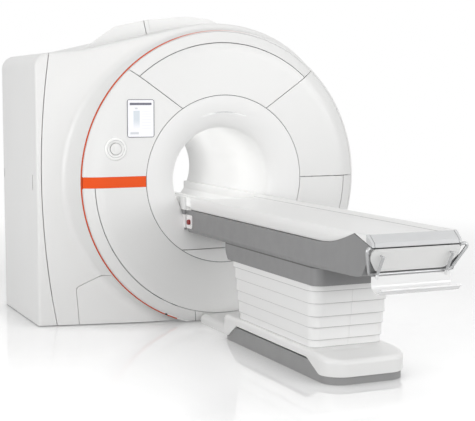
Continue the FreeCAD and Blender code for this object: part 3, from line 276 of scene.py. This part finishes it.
# ------------------------------------------------------------------ finishes
def moulded_cover(name, base, roughness=0.3, coat=0.12):
    """Painted moulding: broad drift in colour, faint orange peel and wiping marks."""
    finish = Finish(name, base, roughness, coat=coat, coat_roughness=0.22)
    finish.wear(base, 0.008)
    wiped = finish.noise(5.0, 4.0, 0.62, finish.stretched((1.0, 1.0, 0.35)))
    finish.set("Roughness", wiped.ramp(0.35, 0.75, roughness - 0.02, roughness + 0.03))
    peel = finish.noise(420.0, 2.0, 0.5)
    finish.bump(peel, 0.02, 0.001)
    return finish


def bore_moulding(name, base):
    """Matt moulding of the funnels and the bore, with a fine even grain."""
    finish = Finish(name, base, 0.42, coat=0.1, coat_roughness=0.3)
    finish.wear(base, 0.006)
    grain = finish.noise(600.0, 2.0, 0.5)
    finish.set("Roughness", grain.ramp(0.3, 0.7, 0.40, 0.45))
    finish.bump(grain, 0.02, 0.0005)
    return finish


def skirt_moulding(name, base):
    """Moulding of the skirt's rings, with the shadow line at each ring's lower edge."""
    finish = moulded_cover(name, base, 0.3, 0.2)
    z = finish.axes()[2]
    gaps = 0.0
    for node in SKIRT_NODES:
        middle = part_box(node)[0][2] + SKIRT_GAP_RISE
        gaps = abs(z - middle).below(SKIRT_GAP_HALF) + gaps
    finish.overlay(gaps, scaled(base, 0.6))
    return finish


def bridge_moulding(name, base, body_grey, plate):
    """White bridge; its cheeks carry on the table body's grey and the stop plate beside the funnel."""
    finish = moulded_cover(name, base, 0.3, 0.2)
    x, y, z = finish.axes()
    cheek = abs(x).above(BRIDGE_CHEEK_X) * y.below(BRIDGE_CHEEK_Y)
    finish.overlay(cheek * z.below(CHEEK_GREY_TOP), body_grey)
    low, high = CHEEK_PLATE
    finish.overlay(cheek * z.below(high) * z.above(low), plate)
    return finish


def table_paint(name, base, white, cap):
    """Grey of the table body; the cheeks of its foot end go on in the colours of the tabletop."""
    finish = satin_plastic(name, base, 0.4, 700.0, 0.08)
    _x, y, z = finish.axes()
    over_slope = z - ((y - SWEEP_Y) * SWEEP_SLOPE + SWEEP_Z)
    foot = y.below(SWEEP_Y)
    cheeks = foot * over_slope.above(0.0015)
    finish.overlay(cheeks, white)
    finish.overlay(cheeks * y.below(BOARD_FOOT_Y), cap)
    finish.overlay(foot * abs(over_slope).below(SWEEP_LINE_HALF), (0.03, 0.03, 0.03))
    return finish


def crown_lit_cover(name, base, crown_highlight):
    """Cover of the table's base, with a painted highlight where its crown faces up."""
    finish = moulded_cover(name, base)
    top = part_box("base_cover")[1][2]
    facing = finish.node("ShaderNodeNewGeometry", output="Normal")
    up = finish.node("ShaderNodeSeparateXYZ", inputs={"Vector": facing}).socket.node.outputs["Z"]
    on_crown = finish.axes()[2].above(top - CROWN_DEPTH)
    # painted highlight on the crown's upward-facing surface
    finish.overlay(Signal(finish, up).ramp(0.3, 0.95) * on_crown, crown_highlight)
    return finish


def plinth_moulding(name, base):
    """Grey of the plinth, with a painted highlight as a paler strip around its foot end."""
    finish = satin_plastic(name, base, 0.5)
    _x, y, z = finish.axes()
    low, high = PLINTH_HIGHLIGHT_Z
    painted_highlight = y.ramp(*PLINTH_HIGHLIGHT_Y, 1.0, 0.0) * z.above(low) * z.below(high)
    # painted highlight: the plinth's grey lightened along its foot end
    finish.overlay(painted_highlight, scaled(base, 1.75))
    return finish


def tray_plastic(name, base, rod):
    """Clear white of the tray; the two rods that it hangs by are grey."""
    finish = moulded_cover(name, base, 0.14, 0.6)
    finish.overlay(finish.axes()[2].above(TRAY_RODS_Z), rod)
    return finish


def toe_moulding(name, base):
    """Cover of the lower rim, with the seam beside the toe."""
    finish = moulded_cover(name, base)
    x, _y, z = finish.axes()
    lean = (z - TOE_SEAM_TOP) * TOE_SEAM_LEAN
    seam = abs((x - TOE_SEAM_X) + lean).below(TOE_SEAM_HALF) * z.below(TOE_SEAM_TOP)
    finish.overlay(seam, scaled(base, 0.3))
    return finish


def tub_paint(name, base):
    """Grey of the tub, with the shadow gap under the table body."""
    finish = satin_plastic(name, base, 0.4, 700.0, 0.08)
    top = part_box("table_tub")[1][2]
    finish.overlay(finish.axes()[2].above(top - TUB_GAP), scaled(base, 0.35))
    return finish


def board_moulding(name, base):
    """Patient board with a fine gutter line along the inner edge of each side rail."""
    finish = moulded_cover(name, base, 0.34, 0.15)
    x, _y, z = finish.axes()
    gutter = abs(abs(x) - GUTTER_X).below(GUTTER_HALF) * z.above(GUTTER_LOW)
    finish.overlay(gutter, scaled(base, 0.62))
    return finish


def satin_plastic(name, base, roughness=0.42, grain=900.0, strength=0.12):
    """Moulded plastic with a fine spark-eroded grain."""
    finish = Finish(name, base, roughness, coat=0.0)
    finish.wear(base, 0.03)
    specks = finish.noise(grain, 2.0, 0.6)
    finish.set("Roughness", finish.noise(11.0, 3.0, 0.6).ramp(0.3, 0.7, roughness - 0.05, roughness + 0.08))
    finish.bump(specks, strength, 0.0006)
    return finish


def brushed_metal(name, base, direction, roughness=0.32):
    """Metal with fine lines along one direction."""
    finish = Finish(name, base, roughness, metallic=1.0)
    lines = finish.noise(60.0, 4.0, 0.7, finish.stretched(direction))
    finish.paint(finish.blend(lines, scaled(base, 0.82), base))
    finish.set("Roughness", lines.ramp(0.2, 0.8, roughness - 0.08, roughness + 0.12))
    finish.bump(lines, 0.15, 0.0008)
    return finish


def powder_coat(name, base):
    """Powder-coated steel: a low pebbled skin."""
    finish = Finish(name, base, 0.5)
    finish.wear(base, 0.06)
    pebbles = finish.noise(520.0, 1.0, 0.4)
    finish.set("Roughness", pebbles.ramp(0.3, 0.7, 0.42, 0.58))
    finish.bump(pebbles, 0.3, 0.0006)
    return finish


def ring_paint(name, colour, white):
    """Accent paint on the ring's outer edge, darkened with painted shade of the gap along it; its colour runs
    out into white over the top.
    """
    finish = Finish(name, colour, 0.42)
    finish.set("Specular IOR Level", 0.25)
    x, _y, z = finish.axes()
    up = z - ISO_Z
    turn = up.math("ARCTAN2", up, x * -1.0)
    radius = (x * x + up * up).power(0.5)
    fade_start, fade_end = (math.radians(angle) for angle in RING_FADE)
    left_side = turn.ramp(fade_start, fade_end, 1.0, 0.0) * turn.above(math.radians(RING_LOW_END))
    # the accent darkened: partly its own colour, partly painted shade of the gap along the ring
    gap_shaded_accent = finish.blend(finish.noise(5.0, 2.0), scaled(colour, 0.62), scaled(colour, 0.68))
    beside_band = abs(z - BAND_Z).below(BAND_HALF + 0.005) * (x * -1.0).above(0.0)
    ring_edge = left_side * radius.above(RING_PAINT_R)
    painted = ring_edge.math("MAXIMUM", ring_edge, beside_band)
    finish.paint(finish.blend(painted, white, gap_shaded_accent))
    # a small dark dot low on the ring
    finish.overlay(finish.distance(DARK_DOT_X, DARK_DOT_Z).below(DARK_DOT_R), (0.03, 0.02, 0.02))
    finish.set("Roughness", finish.noise(30.0, 3.0).ramp(0.3, 0.7, 0.38, 0.46))
    finish.bump(finish.noise(420.0), 0.05, 0.001)
    return finish


def band_paint(name, colour):
    """Accent paint of the band across the left face panel, a little uneven."""
    finish = Finish(name, colour, 0.42)
    finish.set("Specular IOR Level", 0.25)
    patches = finish.noise(6.0, 3.0)
    finish.paint(finish.blend(patches, scaled(colour, 0.94), colour))
    finish.set("Roughness", finish.noise(30.0, 3.0).ramp(0.3, 0.7, 0.38, 0.46))
    finish.bump(finish.noise(420.0), 0.05, 0.001)
    return finish


def dial_finish(name, base, edge_shade, node):
    """Plastic of the dial with painted shade, a darker line, around the piece's outer edge."""
    finish = satin_plastic(name, base, 0.3)
    radius = (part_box(node)[1][0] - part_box(node)[0][0]) / 2
    # painted shade: the piece darkens towards its outer edge
    finish.overlay(finish.distance(DIAL_CENTRE[0], DIAL_CENTRE[2]).ramp(radius - DIAL_SHADE_WIDTH, radius), edge_shade)
    return finish


def display_picture(name, inks):
    """A generic patient list: white margin, dark header, pale column and faint rows."""
    low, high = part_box("display_screen")
    finish = Finish(name, (0.9, 0.92, 0.95), 0.12, coat=0.6, coat_roughness=0.03)
    x, _y, z = finish.axes()
    across = (x - low[0]) / (high[0] - low[0])
    up = (z - low[2]) / (high[2] - low[2])

    def area(left, right, bottom, top):
        return across.above(left) * across.below(right) * up.above(bottom) * up.below(top)

    header = area(0.08, 0.92, 0.86, 0.925)
    column = area(0.22, 0.46, 0.18, 0.71)
    rows = finish.node("ShaderNodeMath", {"operation": "FRACT"}, {0: up * 13.0})
    right = area(0.54, 0.9, 0.2, 0.74)
    foot = area(0.1, 0.42, 0.07, 0.13)
    caption = area(0.28, 0.38, 0.75, 0.79)
    paper = finish.blend(finish.noise(40.0), inks["paper"], scaled(inks["paper"], 0.98))
    picture = finish.blend(column * up.ramp(0.18, 0.5), paper, inks["column"])
    picture = finish.blend(right * rows.below(0.1) * 0.35, picture, inks["line"])
    picture = finish.blend((foot + caption) * 0.75, picture, inks["line"])
    picture = finish.blend(header, picture, inks["header"])
    finish.paint(picture)
    finish.set("Emission Color", picture)
    finish.set("Emission Strength", 0.12)
    finish.set("Roughness", finish.noise(25.0, 3.0).ramp(0.3, 0.7, 0.08, 0.16))
    return finish


def display_rim(name, white, dark):
    """White frame of the display with a dark outline."""
    finish = satin_plastic(name, white, 0.3)
    finish.overlay(finish.rounded_rim(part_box("display_bezel"), 0.016, 0.0042), dark)
    return finish


# ------------------------------------------------------------------ settings
def colour_property(title, default, words):
    return FloatVectorProperty(name=title, description=words, subtype="COLOR", size=3, min=0.0, max=1.0,
                               default=default)


def power_property(title, default, words):
    return FloatProperty(name=title, description=words, default=default, min=0.0, unit="POWER")


class ScannerColours(bpy.types.PropertyGroup):
    """Colours of the scanner's finishes."""
    cover: colour_property("Cover", (0.80, 0.80, 0.792), "Moulded gantry covers")
    bore: colour_property("Bore", (0.84, 0.84, 0.835), "Funnel and bore tube")
    accent: colour_property("Accent", (0.86, 0.088, 0.005), "Band and ring")
    table: colour_property("Table", (0.245, 0.245, 0.247), "Table body and tub")
    tabletop: colour_property("Tabletop", (0.86, 0.86, 0.852), "Patient board")
    skirt: colour_property("Skirt", (0.84, 0.84, 0.835), "Telescoping rings of the skirt")
    cap: colour_property("End cap", (0.57, 0.575, 0.58), "Bevelled end of the tabletop")
    plinth: colour_property("Plinth", (0.29, 0.29, 0.29), "Plinth under the table")
    tray: colour_property("Tray", (0.80, 0.80, 0.80), "Foot tray")
    rod: colour_property("Rod", (0.46, 0.465, 0.47), "Loop handle")
    stop: colour_property("Stop", (0.25, 0.02, 0.02), "Stop buttons")
    stop_plate: colour_property("Stop plate", (0.86, 0.84, 0.84), "Plates around the stop buttons")


class ScannerStage(bpy.types.PropertyGroup):
    """Light and floor of the stage."""
    key: power_property("Key lamp", 62.0, "Power of the large lamp overhead")
    left: power_property("Left lamp", 210.0, "Power of the lamp at the left")
    right: power_property("Right lamp", 160.0, "Power of the lamp at the right")
    front: power_property("Front lamp", 44.0, "Power of the lamp in front of the table's foot end")
    low: power_property("Low lamp", 58.0, "Power of the low lamp in front of the table's foot end")
    tunnel: power_property("Tunnel lights", 1.65, "Power of each of the two soft lights in the bore")
    floor_half: FloatProperty(name="Floor", description="Half of the floor's width", default=40.0,
                              unit="LENGTH")


def colours():
    return bpy.context.scene.scanner_colours


def stage_settings():
    return bpy.context.scene.scanner_stage


# ------------------------------------------------------------------ operators: gantry
class SCANNER_OT_covers(bpy.types.Operator):
    """Finish the moulded covers of the gantry and of the table's base"""
    bl_idname = "scanner.covers"
    bl_label = "Covers"

    def execute(self, context):
        moulded_cover("cover_moulding", tuple(colours().cover)).on(*COVER_NODES)
        toe_moulding("toe_moulding", tuple(colours().cover)).on("rim_cover_lower_left", "toe_panel")
        return {"FINISHED"}


class SCANNER_OT_accents(bpy.types.Operator):
    """Paint the coloured band and the ring around the rim"""
    bl_idname = "scanner.accents"
    bl_label = "Accents"

    def execute(self, context):
        accent = tuple(colours().accent)
        band_paint("accent_band_paint", accent).on("accent_band")
        ring_paint("accent_ring_paint", accent, tuple(colours().cover)).on("accent_ring")
        return {"FINISHED"}


class SCANNER_OT_controls(bpy.types.Operator):
    """Finish the display, its frame and the jog dial"""
    bl_idname = "scanner.controls"
    bl_label = "Controls"

    def execute(self, context):
        inks = {"paper": (0.80, 0.80, 0.84), "column": (0.55, 0.60, 0.65), "line": (0.45, 0.47, 0.50),
                "header": (0.07, 0.07, 0.11)}
        display_picture("display_picture", inks).on("display_screen")
        display_rim("display_frame", (0.84, 0.84, 0.86), (0.11, 0.11, 0.13)).on("display_bezel")
        # the last colour of each piece is its painted shade line
        for name, node, base, edge_shade in (
                ("dial_cup_plastic", "dial_bezel", (0.93, 0.93, 0.92), (0.60, 0.60, 0.60)),
                ("dial_ring_plastic", "dial_ring", (0.86, 0.86, 0.85), (0.66, 0.66, 0.66)),
                ("dial_button_plastic", "dial_button", (0.82, 0.82, 0.81), (0.34, 0.34, 0.34))):
            dial_finish(name, base, edge_shade, node).on(node)
        return {"FINISHED"}


class SCANNER_OT_bore(bpy.types.Operator):
    """Finish the funnels, the bore tube, the light's window and the bridge"""
    bl_idname = "scanner.bore"
    bl_label = "Bore"

    def execute(self, context):
        bore_moulding("bore_moulding", tuple(colours().bore)).on(*BORE_NODES)
        bridge_moulding("bridge_moulding", tuple(colours().tabletop), tuple(colours().table),
                        tuple(colours().stop_plate)).on("bore_bridge")
        tint = (0.50, 0.50, 0.51)
        window = Finish("light_window", tint, 0.08, coat=0.8, coat_roughness=0.03)
        window.wear(tint, 0.1)
        ends = abs(window.axes()[0]).ramp(0.04, 0.11)
        window.overlay(ends, tuple(colours().bore))
        window.set("Roughness", window.noise(60.0).ramp(0.3, 0.7, 0.05, 0.12))
        window.on("laser_window")
        return {"FINISHED"}


# ------------------------------------------------------------------ operators: table
class SCANNER_OT_table(bpy.types.Operator):
    """Finish the table body, its tub and the slide rails"""
    bl_idname = "scanner.table"
    bl_label = "Table body"

    def execute(self, context):
        grey = tuple(colours().table)
        table_paint("table_body_paint", grey, tuple(colours().tabletop), tuple(colours().cap)).on("table_body")
        tub_paint("tub_paint", grey).on("table_tub")
        satin_plastic("rail_plastic", (0.05, 0.05, 0.055), 0.35).on("slide_rails")
        return {"FINISHED"}


class SCANNER_OT_tabletop(bpy.types.Operator):
    """Finish the patient board and its bevelled end"""
    bl_idname = "scanner.tabletop"
    bl_label = "Tabletop"

    def execute(self, context):
        board_moulding("tabletop_moulding", tuple(colours().tabletop)).on("tabletop")
        satin_plastic("end_cap_plastic", tuple(colours().cap), 0.34).on("tabletop_end_cap")
        return {"FINISHED"}


class SCANNER_OT_skirt(bpy.types.Operator):
    """Finish the telescoping rings of the skirt"""
    bl_idname = "scanner.skirt"
    bl_label = "Skirt"

    def execute(self, context):
        skirt_moulding("skirt_moulding", tuple(colours().skirt)).on(*SKIRT_NODES)
        return {"FINISHED"}


class SCANNER_OT_base(bpy.types.Operator):
    """Finish the cover and the plinth of the table's base"""
    bl_idname = "scanner.base"
    bl_label = "Base"

    def execute(self, context):
        # the last colour is the painted highlight on the base cover's crown
        crown_lit_cover("base_cover_moulding", tuple(colours().cover), (0.93, 0.93, 0.92)).on("base_cover")
        plinth_moulding("plinth_plastic", tuple(colours().plinth)).on("base_plinth")
        return {"FINISHED"}


class SCANNER_OT_foot_end(bpy.types.Operator):
    """Finish the end panel, the loop handle and the tray"""
    bl_idname = "scanner.foot_end"
    bl_label = "Foot end"

    def execute(self, context):
        bore_moulding("end_panel_moulding", tuple(colours().cover)).on("end_panel")
        brushed_metal("handle_rod", tuple(colours().rod), (1.0, 6.0, 6.0), 0.34).on("loop_handle")
        tray_plastic("tray_plastic", tuple(colours().tray), tuple(colours().rod)).on("foot_tray")
        return {"FINISHED"}


class SCANNER_OT_stops(bpy.types.Operator):
    """Finish the stop buttons and their plates"""
    bl_idname = "scanner.stops"
    bl_label = "Stop buttons"

    def execute(self, context):
        satin_plastic("stop_plate_plastic", tuple(colours().stop_plate), 0.3).on("estop_plates")
        button = satin_plastic("stop_button_plastic", tuple(colours().stop), 0.25)
        button.on("estop_button_left", "estop_button_right")
        return {"FINISHED"}


# ------------------------------------------------------------------ operators: inside
class SCANNER_OT_insides(bpy.types.Operator):
    """Finish the frame, the lift and the magnet behind the covers"""
    bl_idname = "scanner.insides"
    bl_label = "Insides"

    def execute(self, context):
        powder_coat("frame_coat", (0.20, 0.21, 0.22)).on(*STEEL_NODES)
        brushed_metal("vessel_steel", (0.62, 0.63, 0.65), (1.0, 14.0, 1.0)).on(
            "vacuum_vessel", "helium_vessel", "cold_head")
        brushed_metal("shield_aluminium", (0.72, 0.73, 0.74), (1.0, 14.0, 1.0), 0.26).on("radiation_shield")
        brushed_metal("winding_copper", (0.62, 0.30, 0.16), (1.0, 60.0, 1.0), 0.3).on("main_windings")
        satin_plastic("coil_resin", (0.38, 0.30, 0.12), 0.4, 200.0, 0.3).on("gradient_coil", "rf_body_coil")
        return {"FINISHED"}


# ------------------------------------------------------------------ operators: stage
def area_lamp(name, place, target, size, power):
    """Rectangular lamp at a place, turned towards its target."""
    data = bpy.data.lights.new(name, "AREA")
    data.shape = "RECTANGLE"
    data.size, data.size_y = size
    data.energy = power
    lamp = bpy.data.objects.new(name, data)
    bpy.context.collection.objects.link(lamp)
    lamp.location = place
    lamp.rotation_euler = (Vector(target) - Vector(place)).to_track_quat("-Z", "Y").to_euler()


class SCANNER_OT_stage(bpy.types.Operator):
    """Lay the floor, hang the lamps and set the camera"""
    bl_idname = "scanner.stage"
    bl_label = "Stage"

    def execute(self, context):
        self.floor()
        self.world()
        self.lamps()
        self.camera()
        return {"FINISHED"}

    def floor(self):
        """Pale floor: contact shadow and soft reflections near the scanner, plain white far away."""
        half = stage_settings().floor_half
        mesh = bpy.data.meshes.new("floor")
        grid = bmesh.new()
        corners = [grid.verts.new((x * half, y * half, 0.0)) for x, y in ((-1, -1), (1, -1), (1, 1), (-1, 1))]
        grid.faces.new(corners)
        grid.to_mesh(mesh)
        grid.free()
        floor = bpy.data.objects.new("floor", mesh)
        bpy.context.collection.objects.link(floor)
        finish = Finish("floor_white", (0.8, 0.8, 0.8), 0.5)
        tree = finish.tree
        contact = finish.node("ShaderNodeAmbientOcclusion", {"samples": 8}, {"Distance": FLOOR_CONTACT}, "AO")
        white, shade, bounce = (
            finish.node("ShaderNodeBsdfDiffuse", inputs={"Color": (level, level, level, 1.0)})
            for level in (1.0, FLOOR_SHADE, FLOOR_BOUNCE))
        catch = finish.node("ShaderNodeMixShader", inputs={0: contact.ramp(0.3, 0.95), 1: shade, 2: white})
        x, y, _z = finish.axes()
        away = ((x * x) + (y * y)).power(0.5)
        glow_near, glow_away, distant = (
            finish.node("ShaderNodeEmission", inputs={"Color": WHITE, "Strength": level})
            for level in (FLOOR_GLOW, FLOOR_GLOW_AWAY, 1.0))
        glow = finish.node("ShaderNodeMixShader", inputs={
            0: away.ramp(*FLOOR_GLOW_FADE), 1: glow_near, 2: glow_away})
        gloss = finish.node("ShaderNodeBsdfGlossy", inputs={"Color": WHITE, "Roughness": 0.06})
        path = finish.node("ShaderNodeLightPath").socket.node.outputs
        seen = Signal(finish, path["Is Camera Ray"]) + Signal(finish, path["Is Glossy Ray"])
        far = away.ramp(*FLOOR_WHITE_FADE)
        lit = finish.node("ShaderNodeAddShader", inputs={0: catch, 1: glow})
        fade = self.beside(finish, FLOOR_RECTANGLES).ramp(0.0, FLOOR_GLOSS_REACH, *FLOOR_GLOSS)
        polished = finish.node("ShaderNodeMixShader", inputs={0: fade, 1: lit, 2: gloss})
        near = finish.node("ShaderNodeMixShader", inputs={0: far, 1: polished, 2: distant})
        whole = finish.node("ShaderNodeMixShader", inputs={0: seen, 1: bounce, 2: near})
        tree.links.new(whole.socket, tree.nodes["Material Output"].inputs["Surface"])
        cover(floor, finish.material)

    def beside(self, finish, rectangles):
        """Distance on the floor from the nearest of some rectangles."""
        x, y, _z = finish.axes()
        nearest = None
        for low_x, low_y, high_x, high_y in rectangles:
            across = abs(x - (low_x + high_x) / 2) - (high_x - low_x) / 2
            along = abs(y - (low_y + high_y) / 2) - (high_y - low_y) / 2
            reach = [side.math("MAXIMUM", side, 0.0).power(2.0) for side in (across, along)]
            distance = (reach[0] + reach[1]).power(0.5)
            nearest = distance if nearest is None else distance.math("MINIMUM", distance, nearest)
        return nearest

    def world(self):
        """Soft sky, paler towards the horizon; the camera, mirrors and glass see plain white."""
        world = bpy.data.worlds.new("studio")
        bpy.context.scene.world = world
        world.use_nodes = True
        tree = world.node_tree

        def node(kind, **inputs):
            made = tree.nodes.new(kind)
            for key, value in inputs.items():
                made.inputs[key].default_value = value
            return made

        def mix(factor, first, second):
            made = node("ShaderNodeMixShader")
            for socket, source in zip(made.inputs, (factor, first.outputs[0], second.outputs[0])):
                tree.links.new(source, socket)
            return made

        horizon, zenith, backdrop = (node("ShaderNodeBackground", Strength=level)
                                     for level in (SKY_HORIZON, SKY_ZENITH, 1.0))
        for background in (horizon, zenith, backdrop):
            background.inputs["Color"].default_value = WHITE
        height = node("ShaderNodeSeparateXYZ")
        tree.links.new(node("ShaderNodeTexCoord").outputs["Generated"], height.inputs[0])
        climb = node("ShaderNodeMapRange", **{"From Min": 0.0, "From Max": SKY_CLIMB})
        climb.interpolation_type = "SMOOTHSTEP"
        tree.links.new(height.outputs["Z"], climb.inputs["Value"])
        path = node("ShaderNodeLightPath").outputs
        seen = path["Is Camera Ray"]
        for other in ("Is Glossy Ray", "Is Transmission Ray"):
            either = node("ShaderNodeMath")
            either.operation = "MAXIMUM"
            tree.links.new(seen, either.inputs[0])
            tree.links.new(path[other], either.inputs[1])
            seen = either.outputs[0]
        whole = mix(seen, mix(climb.outputs[0], horizon, zenith), backdrop)
        tree.links.new(whole.outputs[0], tree.nodes["World Output"].inputs["Surface"])

    def lamps(self):
        """Large soft lamps around the scanner, and soft lights in the bore."""
        settings = stage_settings()
        for setting, place, target, size in LAMPS:
            area_lamp(setting + "_lamp", place, target, size, getattr(settings, setting))
        for name, depth in TUNNEL_LIGHTS:
            data = bpy.data.lights.new(name, "POINT")
            data.energy = settings.tunnel
            data.shadow_soft_size = TUNNEL_RADIUS
            lamp = bpy.data.objects.new(name, data)
            bpy.context.collection.objects.link(lamp)
            lamp.location = (0.0, depth, ISO_Z + TUNNEL_RISE)
            lamp.visible_camera = False
            lamp.visible_glossy = False

    def camera(self):
        """Camera in front of the foot end, to its left."""
        yaw, pitch = math.radians(CAMERA_YAW), math.radians(CAMERA_PITCH)
        data = bpy.data.cameras.new("camera")
        data.lens = CAMERA_LENS
        data.sensor_width = 36.0
        data.clip_end = 200.0
        camera = bpy.data.objects.new("camera", data)
        bpy.context.collection.objects.link(camera)
        camera.location = CAMERA_PLACE
        aim = Vector((math.sin(yaw) * math.cos(pitch), math.cos(yaw) * math.cos(pitch), -math.sin(pitch)))
        camera.rotation_euler = aim.to_track_quat("-Z", "Y").to_euler()
        bpy.context.scene.camera = camera
        bpy.context.scene.view_settings.view_transform = "Standard"


# ------------------------------------------------------------------ panel and registration
OPERATORS = [
    SCANNER_OT_covers, SCANNER_OT_accents, SCANNER_OT_controls, SCANNER_OT_bore, SCANNER_OT_table,
    SCANNER_OT_tabletop, SCANNER_OT_skirt, SCANNER_OT_base, SCANNER_OT_foot_end, SCANNER_OT_stops,
    SCANNER_OT_insides, SCANNER_OT_stage]


class SCANNER_PT_panel(bpy.types.Panel):
    """Lists the scanner's settings and steps"""
    bl_label = "Scanner"
    bl_idname = "SCANNER_PT_panel"
    bl_space_type = "VIEW_3D"
    bl_region_type = "UI"
    bl_category = "Scanner"

    def draw(self, context):
        for group in (context.scene.scanner_colours, context.scene.scanner_stage):
            for name in group.bl_rna.properties.keys():
                if name not in ("rna_type", "name"):
                    self.layout.prop(group, name)
        for operator in OPERATORS:
            self.layout.operator(operator.bl_idname)


CLASSES = [ScannerColours, ScannerStage, *OPERATORS, SCANNER_PT_panel]


def register():
    for item in CLASSES:
        bpy.utils.register_class(item)
    bpy.types.Scene.scanner_colours = PointerProperty(type=ScannerColours)
    bpy.types.Scene.scanner_stage = PointerProperty(type=ScannerStage)


def unregister():
    del bpy.types.Scene.scanner_stage
    del bpy.types.Scene.scanner_colours
    for item in reversed(CLASSES):
        bpy.utils.unregister_class(item)


def main():
    register()
    for operator in OPERATORS:
        group, name = operator.bl_idname.split(".")
        getattr(getattr(bpy.ops, group), name)()


if __name__ == "__main__":
    main()
